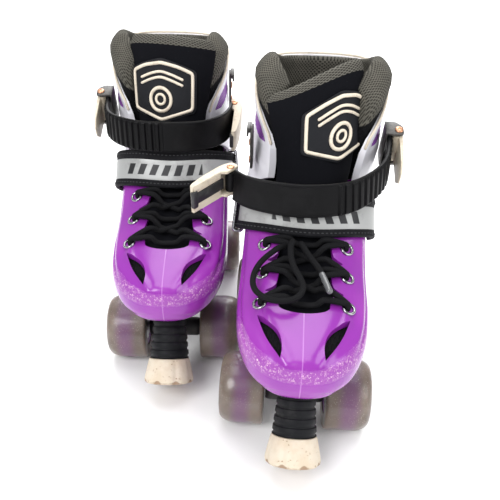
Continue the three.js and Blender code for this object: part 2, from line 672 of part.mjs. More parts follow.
function makeBasePlate() {
  const top = SOLE_HEIGHT - GAP;
  const low = top - PLATE_THICKNESS;
  const right = [];
  const front = bootY(0.075);
  const back = bootY(0.93);
  for (let i = 0; i <= 4; i += 1) {
    const turn = i / 4 * Math.PI / 2;
    right.push([PLATE_HALF_WIDTH * Math.sin(turn), front + PLATE_HALF_WIDTH * (1 - Math.cos(turn))]);
  }
  for (let i = 4; i >= 0; i -= 1) {
    const turn = i / 4 * Math.PI / 2;
    right.push([PLATE_HALF_WIDTH * Math.sin(turn), back - PLATE_HALF_WIDTH * (1 - Math.cos(turn))]);
  }
  let plate = planPlate(mirroredPairs(right.slice(1, -1)), low, top);
  [-1, 1].forEach((end) => {
    const { start, along } = steering(end);
    const point = (t) => start.clone().addScaledVector(along, t);
    const reach = (low + 2 - AXLE_HEIGHT) / along.z;
    const rimRise = (CUSHION_RADIUS + 2) * Math.cos(radians(STEER_SLOPE));
    const headroom = (top - AXLE_HEIGHT - rimRise) / along.z - 0.5;
    plate = plate.add(rod(point(cushionEnd + GAP), point(Math.min(reach + 6, headroom)), CUSHION_RADIUS + 2));
    plate = plate.add(rod(point(AXLE_RADIUS + 6), point(cushionEnd + 4), KINGPIN_RADIUS, KINGPIN_RADIUS, 14));
  });
  const boss = STEM_START.clone().addScaledVector(toeStopAxis, -GAP);
  const into = boss.clone().addScaledVector(toeStopAxis, -(top - boss.z - 7.5) / -toeStopAxis.z);
  return plate.add(rod(boss, into, STEM_TOP_RADIUS - 0.5, STEM_TOP_RADIUS - 0.5, 12));
}

// ---- laces --------------------------------------------------------------------------------------

// A lace lies on the tongue in the middle and on the shell beyond the tabs.
function laceHeight(x, y) {
  const overShell = THREE.MathUtils.smoothstep(Math.abs(x), TAB_REACH - 13, TAB_REACH - 5);
  const tongue = bootTop(x, y, TONGUE_INSET) + 1.5;
  const shell = bootTop(x, y) + 1.6;
  return LACE_DIAMETER / 2 + THREE.MathUtils.lerp(tongue, shell, overShell);
}

// Rows straight across at the eyelets and a cross between each two rows, joined into one body.
function makeLaces() {
  const over = (x, y, lift = 0) => vec(x, y, laceHeight(x, y) + lift);
  const spread = EYELET_SPREAD;
  const reaches = [-1, -0.72, -0.4, 0, 0.4, 0.72, 1];
  const parts = [];
  EYELET_ROWS.forEach((share, i) => {
    const y = bootY(share);
    parts.push(reaches.map((s) => over(s * spread, y)));
    if (i + 1 < EYELET_ROWS.length) {
      const next = bootY(EYELET_ROWS[i + 1]);
      [1, -1].forEach((side) => {
        const across = (s) => over(side * s * spread, y + (next - y) * (s + 1) / 2, 1.5 * (1 - s * s));
        parts.push(reaches.map(across));
      });
    }
  });
  return joined(...parts.map((points) => cordSolid(points, LACE_DIAMETER, 4, 5)));
}

// The free loop of the bow and the free end of the lace, where they lie over the lacing.
const LACE_LOOP = [
  vec(15, -54.5, 140.2), vec(18.5, -58.5, 141.2), vec(22, -61.5, 139.8), vec(26.5, -65, 137.2),
  vec(30.5, -69, 134),
  vec(33, -74, 131), vec(33.9, -80, 128.6), vec(32.9, -86.5, 127.4), vec(30, -92.5, 127),
  vec(25, -97.2, 126.8),
  vec(19, -99.8, 126.8), vec(12.5, -100.2, 127.2), vec(6.5, -98.2, 128), vec(2.6, -93.8, 129.4),
  vec(1.6, -88.2, 131.2), vec(3.4, -82.8, 133.4), vec(6.4, -77.6, 135.8), vec(9, -72, 138.6),
  vec(10.4, -66, 141.6),
  vec(10.4, -60.6, 144), vec(9.4, -56.2, 145.4),
];
const LACE_END = [
  vec(3.6, -54, 142.6), vec(2.8, -56, 142.6), vec(1.7, -58.2, 142.2), vec(0.5, -60.4, 141.4),
  vec(-0.9, -62.6, 140.4),
  vec(-2.4, -64.8, 139.4), vec(-4, -67, 138.4), vec(-5.7, -69.3, 137.4), vec(-7.3, -71.7, 136.5),
  vec(-8.7, -74.2, 135.6),
  vec(-9.9, -76.9, 134.8), vec(-11, -79.7, 134), vec(-12, -82.6, 133.2), vec(-13, -85.6, 132.4),
  vec(-14, -88.6, 131.6), vec(-14.9, -91.6, 130.8),
];

// ---- assembly -----------------------------------------------------------------------------------

// One skate. choices holds what differs between the two: the tongue's turn and slant, the ankle
// strap's path, and the places of the buckles.
function makeSkate(prefix, choices) {
  const skate = new THREE.Group();
  const add = (name, solid, material, origin = vec(0, 0, 0), parent = skate) => {
    const geometry = geometryFrom(solid);
    geometry.translate(-origin.x, -origin.y, -origin.z);
    geometry.computeVertexNormals();
    const mesh = new THREE.Mesh(geometry, MATERIALS[material]());
    mesh.name = `${prefix}_${name}`;
    mesh.position.copy(origin);
    parent.add(mesh);
    return mesh;
  };

  add('shell', makeShell(), 'shell');
  add('base_plate', makeBasePlate(), 'truck');
  add('foot_liner', makeFootLiner(), 'lining');
  add('instep_tongue', makeInstepTongue(), 'neoprene');
  add('toe_stop_stem', makeStem(), 'rubber');
  add('toe_stop_pad', makePad(), 'pad');
  add('cuff_rivet_inner', makeCuffRivet(1), 'steel');
  add('cuff_rivet_outer', makeCuffRivet(-1), 'steel');
  add('instep_strap', makeInstepStrap(), 'instepStrap');
  add('strap_ring', makeStrapRing(), 'steel');
  add('laces', makeLaces(), 'lace');

  [['front', -1], ['rear', 1]].forEach(([word, end]) => {
    const centre = steering(end).start;
    add(`${word}_cushion`, makeCushion(end), 'cushion');
    add(`${word}_truck`, makeTruck(end), 'truck', centre);
    add(`${word}_axle`, makeAxle(end), 'steel', centre);
    [['inner', 1], ['outer', -1]].forEach(([side, s]) => {
      const wheel = makeWheel();
      const placed = s > 0 ? wheel : wheel.mirror([1, 0, 0]);
      const at = vec(s * WHEEL_CENTRE, centre.y, centre.z);
      add(`${word}_${side}_wheel`, placed.translate(at.toArray()), 'wheel', at);
    });
  });

  add('cuff', makeCuff(), 'cuff', CUFF_PIVOT);
  add('collar', makeCollar(), 'lining', CUFF_PIVOT);
  const turn = new THREE.Matrix4().makeTranslation(0, -10, 0)
    .multiply(new THREE.Matrix4().makeRotationZ(radians(choices.tongueTwist)))
    .multiply(new THREE.Matrix4().makeTranslation(0, 10, 0));
  add('ankle_tongue', makeAnkleTongue(choices.tongueSlant).transform(turn.elements), 'neoprene', CUFF_PIVOT);

  const ratchet = buckleFrame(choices.ratchetPin, choices.ratchetSlope, -1, 0);
  const placed = (solid, frame) => solid.transform(frame.elements);
  const ratchetAt = vec(0, 0, 0).applyMatrix4(ratchet);
  add('ratchet_base', placed(makeRatchetBase(), ratchet), 'bracket', ratchetAt);
  add('ratchet_lever', placed(makeRatchetLever(), ratchet), 'buckle', ratchetAt);

  const cam = buckleFrame(choices.camPin, choices.camSlope, 1, 0);
  const camOpen = buckleFrame(choices.camPin, choices.camSlope, 1, choices.camSwing);
  const camAt = vec(0, 0, 0).applyMatrix4(cam);
  const knuckle = makeStrapKnuckle();
  const strap = makeAnkleStrap(choices.anklePath).subtract(placed(camSweep(), cam));
  const held = largestPiece(strap.add(placed(knuckle.barrel, cam)).subtract(placed(knuckle.bore, cam)));
  add('ankle_strap', held, 'ankleStrap', CUFF_PIVOT);
  add('cam_lever', placed(makeCamLever(), camOpen), 'buckle', camAt);
  if (choices.bow) {
    add('lace_loop', cordSolid(LACE_LOOP, LACE_DIAMETER, 22), 'lace');
    add('lace_end', cordSolid(LACE_END, LACE_DIAMETER, 6), 'lace');
  }
  const catchFrame = buckleFrame(choices.catchAt, choices.catchSlope, 1, 0);
  add('catch_strip', placed(makeCatchStrip(), catchFrame), 'bracket');
  return skate;
}

// What the strap's end leaves free for the cam lever's walls to swing through.
function camSweep() {
  const half = LEVER_WIDTH / 2 - 2.2 - GAP;
  const wide = ANKLE_STRAP_WIDTH;
  return joined(block(-30, 30, -8.5, 40, half, wide), block(-30, 30, -8.5, 40, -wide, -half));
}

// A frame at a buckle's pin: side is +1 on the inner side, slope tips its forward end down, swing
// opens its lever.
function buckleFrame(pin, slope, side, swing) {
  const matrix = new THREE.Matrix4().makeTranslation(pin.x, pin.y, pin.z);
  matrix.multiply(new THREE.Matrix4().makeRotationX(radians(slope)));
  if (side < 0) {
    matrix.multiply(new THREE.Matrix4().makeScale(-1, 1, 1));
  }
  return matrix.multiply(new THREE.Matrix4().makeRotationZ(radians(swing)));
}

const RIGHT_CHOICES = {
  bow: false,
  tongueTwist: -9,
  tongueSlant: 2,
  ratchetPin: vec(-61.5, 20, 188),
  ratchetSlope: 20,
  anklePath: [vec(-55.6, 26, 190), vec(-55.6, 11, 185), vec(-49.5, -13.5, 182.3),
    vec(-29, -33, 182), vec(0, -38.5, 182.3),
    vec(25, -33, 182.6), vec(39, -18.5, 183.2), vec(45, -1, 184.5), vec(46.4, 10, 186)],
  camPin: vec(48.5, 14, 187),
  camSlope: 22,
  camSwing: -4,
  catchAt: vec(44.6, 44, 200),
  catchSlope: 22,
};

const LEFT_CHOICES = {
  bow: true,
  tongueTwist: -18,
  tongueSlant: 18,
  ratchetPin: vec(-61.5, 20, 188),
  ratchetSlope: 22,
  anklePath: [vec(-55.6, 26, 190), vec(-55.3, 11, 184.2), vec(-49.2, -15, 177.4),
    vec(-29, -36.8, 171.6), vec(0, -43.8, 169.2),
    vec(27, -41.6, 169.6), vec(43, -36, 170.5), vec(51.5, -29, 171.8)],
  camPin: vec(54.5, -23.5, 172.8),
  camSlope: 8,
  camSwing: 36,
  catchAt: vec(42.5, 8, 187),
  catchSlope: 10,
};

const pair = new THREE.Group();

const rightSkate = makeSkate('right', RIGHT_CHOICES);
rightSkate.rotation.z = radians(RIGHT_YAW);
pair.add(rightSkate);

const leftSkate = makeSkate('left', LEFT_CHOICES);
leftSkate.scale.x = -1;
leftSkate.rotation.z = radians(LEFT_YAW);
leftSkate.position.set(PAIR_SPACING, -PAIR_STAGGER, 0);
pair.add(leftSkate);

// The middle of the pair's box, at floor level, is the origin.
const bounds = new THREE.Box3().setFromObject(pair);
const centre = bounds.getCenter(vec(0, 0, 0));
pair.position.set(-centre.x, -centre.y, -bounds.min.z);

const skates = new THREE.Group();
skates.add(pair);

export default skates;
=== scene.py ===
"""A pair of adjustable quad roller skates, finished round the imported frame.

Everything is drawn in millimetres in a skate's own frame: a right skate, toes towards -Y, inner side at +X,
origin on the floor midway between the axles. The left skate is the same drawing mirrored.
"""
import math

import bmesh
import bpy
import numpy as np
from mathutils import Matrix, Vector


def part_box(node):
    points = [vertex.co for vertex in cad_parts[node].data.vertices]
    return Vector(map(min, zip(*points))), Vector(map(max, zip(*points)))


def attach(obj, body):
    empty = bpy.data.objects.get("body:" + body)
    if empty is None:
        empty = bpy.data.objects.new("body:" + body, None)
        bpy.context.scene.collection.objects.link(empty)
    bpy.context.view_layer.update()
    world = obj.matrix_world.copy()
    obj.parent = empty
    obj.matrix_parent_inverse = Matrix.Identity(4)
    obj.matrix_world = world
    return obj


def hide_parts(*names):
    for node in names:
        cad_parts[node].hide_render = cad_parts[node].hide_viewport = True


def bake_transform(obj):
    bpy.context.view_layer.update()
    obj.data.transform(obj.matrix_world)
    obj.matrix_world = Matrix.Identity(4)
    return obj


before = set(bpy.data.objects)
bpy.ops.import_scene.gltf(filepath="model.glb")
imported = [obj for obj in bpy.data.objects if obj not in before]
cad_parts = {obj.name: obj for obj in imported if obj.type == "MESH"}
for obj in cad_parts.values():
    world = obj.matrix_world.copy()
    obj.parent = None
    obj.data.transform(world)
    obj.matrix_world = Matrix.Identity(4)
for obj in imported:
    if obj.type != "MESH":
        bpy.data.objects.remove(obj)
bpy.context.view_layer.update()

MM = 0.001
SIDES = ("right", "left")

# ---- driving sizes, in millimetres ----

WHEEL_DIAMETER = 54
WHEEL_WIDTH = 33.3
TRACK = 111.3
WHEELBASE = 145.5
SOLE_HEIGHT = 73.4
SHELL_LENGTH = 252
SHELL_WIDTH = 89.6
TOE_TIP = -WHEELBASE / 2 - 64.75
SHELL_WALL = 3.2
SECTION_POWER = 2.6
LINER_WALL = 4
COLLAR_WALL = 9
TONGUE_WALL = 6.5
TONGUE_INSET = SHELL_WALL + 2.6
CUFF_WALL = 3
CUFF_PIVOT = Vector((0, 45, 128))
CUFF_SIDE_SHIFT = 4.5
LACE_DIAMETER = 4
EYELET_ROWS = (0.181, 0.279, 0.365)
EYELET_SPREAD = 27.4
EYELET_RADIUS = 3.9
EYELET_WIRE = 1.0
INSTEP_STRAP_HALF = 14.2
SILVER_HALF = 7.8
ANKLE_STRAP_HALF = 11.5
STRAP_THICKNESS = 2.7
RIB_PITCH = 5.2
PIVOT_HOLE_RADIUS = 5.3
ARCH_TOP = 340


# ---- placing and making pieces ----

def box_middle(node):
    low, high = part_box(node)
    return (Vector(low) + Vector(high)) / 2


def placement(side):
    """The matrix from a skate's own millimetres to the frame's metres, worked out from its four wheels."""
    front, rear = ((box_middle(f"{side}_{end}_inner_wheel") + box_middle(f"{side}_{end}_outer_wheel")) / 2
                   for end in ("front", "rear"))
    y_axis = (rear - front).normalized()
    x_axis = y_axis.cross(Vector((0, 0, 1))) * (1 if side == "right" else -1)
    turn = Matrix((x_axis, y_axis, (0, 0, 1))).transposed().to_4x4()
    origin = (front + rear) / 2
    origin.z = 0
    return Matrix.Translation(origin) @ turn @ Matrix.Scale(MM, 4)


PLACE = {side: placement(side) for side in SIDES}


class Form:
    """Points in a skate's own millimetres, faces, and named values at the points."""

    def __init__(self):
        self.points = []
        self.faces = []
        self.values = {}

    def add(self, points, faces, **values):
        start = len(self.points)
        for name in set(values) | set(self.values):
            given = values.get(name)
            kept = self.values.setdefault(name, [0.0] * start if name != "cloth" else [(0, 0, 0)] * start)
            blank = (0, 0, 0) if name == "cloth" else 0.0
            kept.extend(given if given is not None else [blank] * len(points))
        self.points.extend(tuple(p) for p in points)
        self.faces.extend([start + i for i in face] for face in faces)
        return self

    def merge(self, other):
        return self.add(other.points, other.faces, **other.values)

    def moved(self, matrix):
        self.points = [tuple(matrix @ Vector(p)) for p in self.points]
        if matrix.to_3x3().determinant() < 0:
            self.faces = [face[::-1] for face in self.faces]
        return self


def volume(points, faces):
    total = 0.0
    for face in faces:
        a = Vector(points[face[0]])
        for b, c in zip(face[1:], face[2:]):
            total += a.dot(Vector(points[b]).cross(Vector(points[c])))
    return total


def loft(rings, closed=False, cloth=None, **values):
    """A skin through rings with equal counts of points, faced outwards."""
    form = Form()
    count = len(rings[0])
    points = [p for ring in rings for p in ring]
    faces = []
    rows = len(rings)
    for r in range(rows if closed else rows - 1):
        below, above = r * count, (r + 1) % rows * count
        for i in range(count):
            j = (i + 1) % count
            faces.append([below + i, below + j, above + j, above + i])
    if not closed:
        faces.append(list(range(count))[::-1])
        faces.append([(rows - 1) * count + i for i in range(count)])
    if volume(points, faces) < 0:
        faces = [face[::-1] for face in faces]
    if cloth is not None:
        values["cloth"] = cloth
    return form.add(points, faces, **values)


def smooth_path(points, count, closed=False):
    """Evenly spaced points on a smooth curve through a few chosen ones."""
    p = np.array([tuple(q) for q in points], float)
    if closed:
        p = np.vstack([p[-1:], p, p[:2]])
    else:
        p = np.vstack([2 * p[0] - p[1], p, 2 * p[-1] - p[-2]])
    dense = []
    for a, b, c, d in zip(p, p[1:], p[2:], p[3:]):
        spans = ((a, b), (b, c), (c, d))
        knots = np.cumsum([0] + [max(np.linalg.norm(v - u) ** 0.5, 1e-6) for u, v in spans])
        for t in np.linspace(knots[1], knots[2], 16, endpoint=False):
            def lean(u, v, i, j):
                return ((knots[j] - t) * u + (t - knots[i]) * v) / (knots[j] - knots[i])
            one, two, three = lean(a, b, 0, 1), lean(b, c, 1, 2), lean(c, d, 2, 3)
            four, five = lean(one, two, 0, 2), lean(two, three, 1, 3)
            dense.append(lean(four, five, 1, 2))
    dense.append(p[-2])
    dense = np.array(dense)
    reach = np.concatenate([[0], np.cumsum(np.linalg.norm(np.diff(dense, axis=0), axis=1))])
    wanted = np.linspace(0, reach[-1], count + 1 if closed else count)
    even = np.stack([np.interp(wanted, reach, dense[:, k]) for k in range(3)], axis=1)
    return even[:-1] if closed else even


def tangents(path):
    steps = np.gradient(path, axis=0)
    return steps / np.linalg.norm(steps, axis=1)[:, None]


def tube(path, radius, sides=12, round_ends=True):
    """A round cord along a path of even steps. radius may change along it."""
    path = np.asarray(path, float)
    radii = np.full(len(path), radius, float) if np.isscalar(radius) else np.asarray(radius, float)
    along = tangents(path)
    if round_ends:
        ends = [(0, -1), (-1, 1)]
        caps = []
        for index, sign in ends:
            caps.append([(path[index] + sign * along[index] * radii[index] * math.sin(a),
                          radii[index] * math.cos(a)) for a in (0.45, 0.95, 1.35)])
        path = np.vstack([[p for p, _ in caps[0][::-1]], path, [p for p, _ in caps[1]]])
        radii = np.concatenate([[r for _, r in caps[0][::-1]], radii, [r for _, r in caps[1]]])
        along = np.vstack([np.repeat(along[:1], 3, 0), along, np.repeat(along[-1:], 3, 0)])
    side = np.cross(along[0], (0.0, 0.0, 1.0))
    if np.linalg.norm(side) < 0.1:
        side = np.cross(along[0], (1.0, 0.0, 0.0))
    rings, cloth = [], []
    reach = np.concatenate([[0], np.cumsum(np.linalg.norm(np.diff(path, axis=0), axis=1))])
    for point, direction, size, distance in zip(path, along, radii, reach):
        side = side - direction * side.dot(direction)
        side = side / np.linalg.norm(side)
        up = np.cross(side, direction)
        ring = []
        for k in range(sides):
            turn = 2 * math.pi * k / sides
            ring.append(tuple(point + size * (math.cos(turn) * side + math.sin(turn) * up)))
            cloth.append((distance * MM, size * abs(turn - math.pi) * MM, 0))
        rings.append(ring)
    return loft(rings, cloth=cloth)


def lathe(profile, start, direction, sides=48):
    """A profile of (distance, radius) turned about a line."""
    direction = Vector(direction).normalized()
    turn = Vector((0, 0, 1)).rotation_difference(direction)
    rings = []
    for distance, radius in profile:
        ring = []
        for k in range(sides):
            angle = 2 * math.pi * k / sides
            spoke = Vector((radius * math.cos(angle), radius * math.sin(angle), distance))
            ring.append(tuple(Vector(start) + turn @ spoke))
        rings.append(ring)
    return loft(rings)


def rounded(profile, size=0.8, steps=3):
    """A (distance, radius) profile with its corners rounded."""
    out = [profile[0]]
    for before, corner, after in zip(profile, profile[1:], profile[2:]):
        a, b, c = (np.array(p, float) for p in (before, corner, after))
        reach = min(size, np.linalg.norm(a - b) / 2.2, np.linalg.norm(c - b) / 2.2)
        first = b + (a - b) / max(np.linalg.norm(a - b), 1e-6) * reach
        last = b + (c - b) / max(np.linalg.norm(c - b), 1e-6) * reach
        for t in np.linspace(0, 1, steps + 1):
            out.append(tuple((1 - t) ** 2 * first + 2 * t * (1 - t) * b + t * t * last))
    out.append(profile[-1])
    return out


def rod(start, end, radius, end_radius=None, sides=32, edge=0.6):
    start, end = Vector(start), Vector(end)
    length = (end - start).length
    end_radius = radius if end_radius is None else end_radius
    profile = [(0, 0.01), (0, radius), (length, end_radius), (length, 0.01)]
    return lathe(rounded(profile, edge), start, end - start, sides)


def slab(outline, low, high, axis="z", edge=0.5):
    """A flat outline with rounded edges, drawn out along one axis.

    outline holds pairs in the other two axes.
    """
    flat = np.array(outline, float)
    middle = flat.mean(axis=0)
    before, after = np.roll(flat, 1, axis=0), np.roll(flat, -1, axis=0)
    normal = np.stack([(after - before)[:, 1], -(after - before)[:, 0]], axis=1)
    normal /= np.maximum(np.linalg.norm(normal, axis=1), 1e-9)[:, None]
    if ((flat - middle) * normal).sum() < 0:
        normal = -normal
    rings = []
    for level, inset in ((low, edge), (low + edge * 0.3, edge * 0.3), (low + edge, 0),
                         (high - edge, 0), (high - edge * 0.3, edge * 0.3), (high, edge)):
        ring = []
        for (u, v) in flat - normal * inset:
            ring.append({"z": (u, v, level), "x": (level, u, v), "y": (u, level, v)}[axis])
        rings.append(ring)
    return loft(rings)


def mesh_from(name, form):
    mesh = bpy.data.meshes.new(name)
    mesh.from_pydata([tuple(p) for p in form.points], [], form.faces)
    for key, values in form.values.items():
        kind = "FLOAT_VECTOR" if key == "cloth" else "FLOAT"
        attribute = mesh.attributes.new(key, kind, "POINT")
        attribute.data.foreach_set("vector" if key == "cloth" else "value",
                                   np.array(values, np.float32).ravel())
    mesh.update()
    return mesh


def own_coordinates(mesh):
    """Keeps each point's place in the skate's own frame, in metres, for the patterns that follow it."""
    flat = np.empty(len(mesh.vertices) * 3, np.float32)
    mesh.vertices.foreach_get("co", flat)
    attribute = mesh.attributes.new("skate", "FLOAT_VECTOR", "POINT")
    attribute.data.foreach_set("vector", flat * MM)


def make(side, name, form, material, body, replaced=(), sharp=40, ride=True):
    """Turns a form or a mesh in a skate's own frame into a piece of the model."""
    mesh = form if isinstance(form, bpy.types.Mesh) else mesh_from(name, form)
    own_coordinates(mesh)
    mesh.transform(PLACE[side])
    if PLACE[side].to_3x3().determinant() < 0:
        mesh.flip_normals()
    mesh.polygons.foreach_set("use_smooth", [True] * len(mesh.polygons))
    mesh.set_sharp_from_angle(angle=math.radians(sharp))
    mesh.materials.clear()
    mesh.materials.append(material)
    piece = bpy.data.objects.new(f"{side}_{name}", mesh)
    bpy.context.collection.objects.link(piece)
    if ride:
        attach(piece, f"{side}_{body}")
    if replaced:
        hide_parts(*(f"{side}_{node}" for node in replaced))
    return piece


def settle(piece):
    """Applies a piece's modifiers to its mesh."""
    bpy.context.view_layer.update()
    evaluated = piece.evaluated_get(bpy.context.evaluated_depsgraph_get())
    mesh = bpy.data.meshes.new_from_object(evaluated, preserve_all_data_layers=True,
                                           depsgraph=bpy.context.evaluated_depsgraph_get())
    piece.modifiers.clear()
    piece.data = mesh
    return mesh


def cut(form, tools, operation="DIFFERENCE"):
    """A form with others cut out of it, as a mesh."""
    body = bpy.data.objects.new("being_cut", mesh_from("being_cut", form))
    bpy.context.collection.objects.link(body)
    cutters = []
    for tool in tools:
        cutter = bpy.data.objects.new("cutter", mesh_from("cutter", tool))
        bpy.context.collection.objects.link(cutter)
        modifier = body.modifiers.new("cut", "BOOLEAN")
        modifier.operation = operation
        modifier.solver = "EXACT"
        modifier.object = cutter
        cutters.append(cutter)
    mesh = settle(body)
    for spare in [body, *cutters]:
        bpy.data.objects.remove(spare)
    return mesh


def smoothstep(value, low, high):
    share = np.clip((np.asarray(value, float) - low) / (high - low), 0, 1)
    return share * share * (3 - 2 * share)


def eased(value, low, high):
    """The same soft step for one number."""
    return float(smoothstep(value, low, high))


def curve_between(table, key, column):
    """A smooth value between the rows of a table that starts with a rising key."""
    rows = np.array(table, float)
    x, y = rows[:, 0], rows[:, column]
    slope = np.diff(y) / np.diff(x)
    lean = np.concatenate([[slope[0]], [0 if a * b <= 0 else 2 * a * b / (a + b)
                                       for a, b in zip(slope, slope[1:])], [slope[-1]]])
    key = np.clip(np.asarray(key, float), x[0], x[-1])
    i = np.clip(np.searchsorted(x, key) - 1, 0, len(x) - 2)
    width = x[i + 1] - x[i]
    t = (key - x[i]) / width
    return ((1 + 2 * t) * (1 - t) ** 2 * y[i] + t * (1 - t) ** 2 * width * lean[i]
            + t * t * (3 - 2 * t) * y[i + 1] + t * t * (t - 1) * width * lean[i + 1])


# ---- shader helpers ----

def node(tree, kind, inputs=None, **settings):
    made = tree.nodes.new(kind)
    for name, value in settings.items():
        setattr(made, name, value)
    for name, value in (inputs or {}).items():
        socket = made.inputs[name]
        if isinstance(value, bpy.types.NodeSocket):
            tree.links.new(value, socket)
        else:
            socket.default_value = value
    return made


def attribute(tree, name, output="Vector"):
    return node(tree, "ShaderNodeAttribute", attribute_name=name).outputs[output]


def own_place(tree):
    return attribute(tree, "skate")


def stretched(tree, vector, scale, turn=(0, 0, 0)):
    values = {"Vector": vector, "Scale": scale, "Rotation": turn}
    return node(tree, "ShaderNodeMapping", values).outputs["Vector"]


def noise(tree, vector, scale, detail=3.0, roughness=0.55):
    return node(tree, "ShaderNodeTexNoise",
                {"Vector": vector, "Scale": scale, "Detail": detail, "Roughness": roughness}).outputs["Fac"]


def cell_edges(tree, vector, scale):
    """How far each place is from the nearest edge of an uneven honeycomb."""
    return node(tree, "ShaderNodeTexVoronoi", {"Vector": vector, "Scale": scale},
                feature="DISTANCE_TO_EDGE").outputs["Distance"]


def between(tree, value, low, high, start=0.0, end=1.0):
    """A soft step from start to end as a value goes from low to high."""
    ends = {"Value": value, "From Min": low, "From Max": high, "To Min": start, "To Max": end}
    return node(tree, "ShaderNodeMapRange", ends, interpolation_type="SMOOTHSTEP").outputs["Result"]


def calc(tree, operation, a, b=0.0):
    made = node(tree, "ShaderNodeMath", operation=operation)
    for socket, value in zip(made.inputs, (a, b)):
        if isinstance(value, bpy.types.NodeSocket):
            tree.links.new(value, socket)
        else:
            socket.default_value = value
    return made.outputs[0]


def times(tree, a, b):
    return calc(tree, "MULTIPLY", a, b)


def blend_colours(tree, factor, a, b):
    made = node(tree, "ShaderNodeMix", data_type="RGBA")
    for index, value in ((0, factor), (6, a), (7, b)):
        if isinstance(value, bpy.types.NodeSocket):
            tree.links.new(value, made.inputs[index])
        else:
            made.inputs[index].default_value = value if index == 0 else (*value, 1)
    return made.outputs[2]


def axes(tree, vector):
    return node(tree, "ShaderNodeSeparateXYZ", {"Vector": vector}).outputs


def bump(tree, height, distance, strength=1.0, normal=None):
    made = node(tree, "ShaderNodeBump", {"Height": height, "Distance": distance, "Strength": strength})
    if normal is not None:
        tree.links.new(normal, made.inputs["Normal"])
    return made.outputs["Normal"]


class Finish:
    """A material with one Principled surface."""

    def __init__(self, name, **values):
        self.material = bpy.data.materials.new(name)
        self.material.use_nodes = True
        self.tree = self.material.node_tree
        self.surface = self.tree.nodes["Principled BSDF"]
        self.set(**values)

    def set(self, **values):
        for name, value in values.items():
            socket = self.surface.inputs[name.replace("_", " ")]
            if isinstance(value, bpy.types.NodeSocket):
                self.tree.links.new(value, socket)
            elif isinstance(value, tuple) and len(value) == 3 and socket.type == "RGBA":
                socket.default_value = (*value, 1)
            else:
                socket.default_value = value
        return self


def group(name, inputs, outputs, build):
    """A shader node group. inputs and outputs hold (name, socket type, value); build links its inside."""
    tree = bpy.data.node_groups.new(name, "ShaderNodeTree")
    for label, kind, value in inputs:
        socket = tree.interface.new_socket(name=label, in_out="INPUT", socket_type=kind)
        if value is not None:
            socket.default_value = value
    for label, kind in outputs:
        tree.interface.new_socket(name=label, in_out="OUTPUT", socket_type=kind)
    source = tree.nodes.new("NodeGroupInput").outputs
    target = tree.nodes.new("NodeGroupOutput").inputs
    for label, socket in build(tree, source).items():
        tree.links.new(socket, target[label])
    return tree


def use(tree, shared, **inputs):
    return node(tree, "ShaderNodeGroup", {name.replace("_", " "): value for name, value in inputs.items()},
                node_tree=shared).outputs


FLOAT, VECTOR = "NodeSocketFloat", "NodeSocketVector"


def build_grime(tree, source):
    """Blotches of dirt, and fine specks, from 0 to 1."""
    broad = noise(tree, source["Vector"], source["Scale"], 5, 0.65)
    fine = noise(tree, source["Vector"], times(tree, source["Scale"], 7), 3, 0.6)
    both = calc(tree, "ADD", times(tree, broad, 0.7), times(tree, fine, 0.3))
    return {"Mask": between(tree, both, 0.48, 0.68)}


def build_grain(tree, source):
    """The fine uneven surface of moulded plastic or rubber."""
    height = noise(tree, source["Vector"], source["Scale"], 4, 0.6)
    return {"Normal": bump(tree, height, source["Depth"]), "Height": height}


def build_weave(tree, source):
    """Plain weave on cloth coordinates: threads over and under each other."""
    parts = axes(tree, source["Vector"])
    counts = [times(tree, parts[k], source["Threads"]) for k in (0, 1)]
    turns = [times(tree, count, math.pi) for count in counts]
    waves = [calc(tree, "SINE", turn) for turn in turns]
    sign = times(tree, waves[0], waves[1])
    over = between(tree, sign, -0.25, 0.25)
    ridge = [calc(tree, "ABSOLUTE", wave) for wave in waves]
    height = node(tree, "ShaderNodeMix", {0: over}, data_type="FLOAT")
    tree.links.new(ridge[0], height.inputs[2])
    tree.links.new(ridge[1], height.inputs[3])
    return {"Height": height.outputs[0], "Normal": bump(tree, height.outputs[0], source["Depth"])}


def build_spacer(tree, source):
    """The diamond holes of spacer mesh."""
    parts = axes(tree, source["Vector"])
    across = times(tree, calc(tree, "ADD", parts[0], parts[2]), source["Holes"])
    down = times(tree, calc(tree, "SUBTRACT", parts[0], parts[2]), source["Holes"])
    waves = [calc(tree, "SINE", times(tree, part, math.pi)) for part in (across, down)]
    hole = calc(tree, "ABSOLUTE", times(tree, waves[0], waves[1]))
    mask = between(tree, hole, 0.35, 0.75)
    return {"Hole": mask, "Normal": bump(tree, calc(tree, "SUBTRACT", 1.0, mask), source["Depth"])}


GRIME = group("Grime", [("Vector", VECTOR, None), ("Scale", FLOAT, 30.0)], [("Mask", FLOAT)], build_grime)
GRAIN = group("Moulded grain", [("Vector", VECTOR, None), ("Scale", FLOAT, 900.0), ("Depth", FLOAT, 0.0001)],
              [("Normal", VECTOR), ("Height", FLOAT)], build_grain)
WEAVE = group("Weave", [("Vector", VECTOR, None), ("Threads", FLOAT, 900.0), ("Depth", FLOAT, 0.0003)],
              [("Height", FLOAT), ("Normal", VECTOR)], build_weave)
SPACER = group("Spacer mesh", [("Vector", VECTOR, None), ("Holes", FLOAT, 260.0), ("Depth", FLOAT, 0.0006)],
               [("Hole", FLOAT), ("Normal", VECTOR)], build_spacer)


# ---- finishes ----

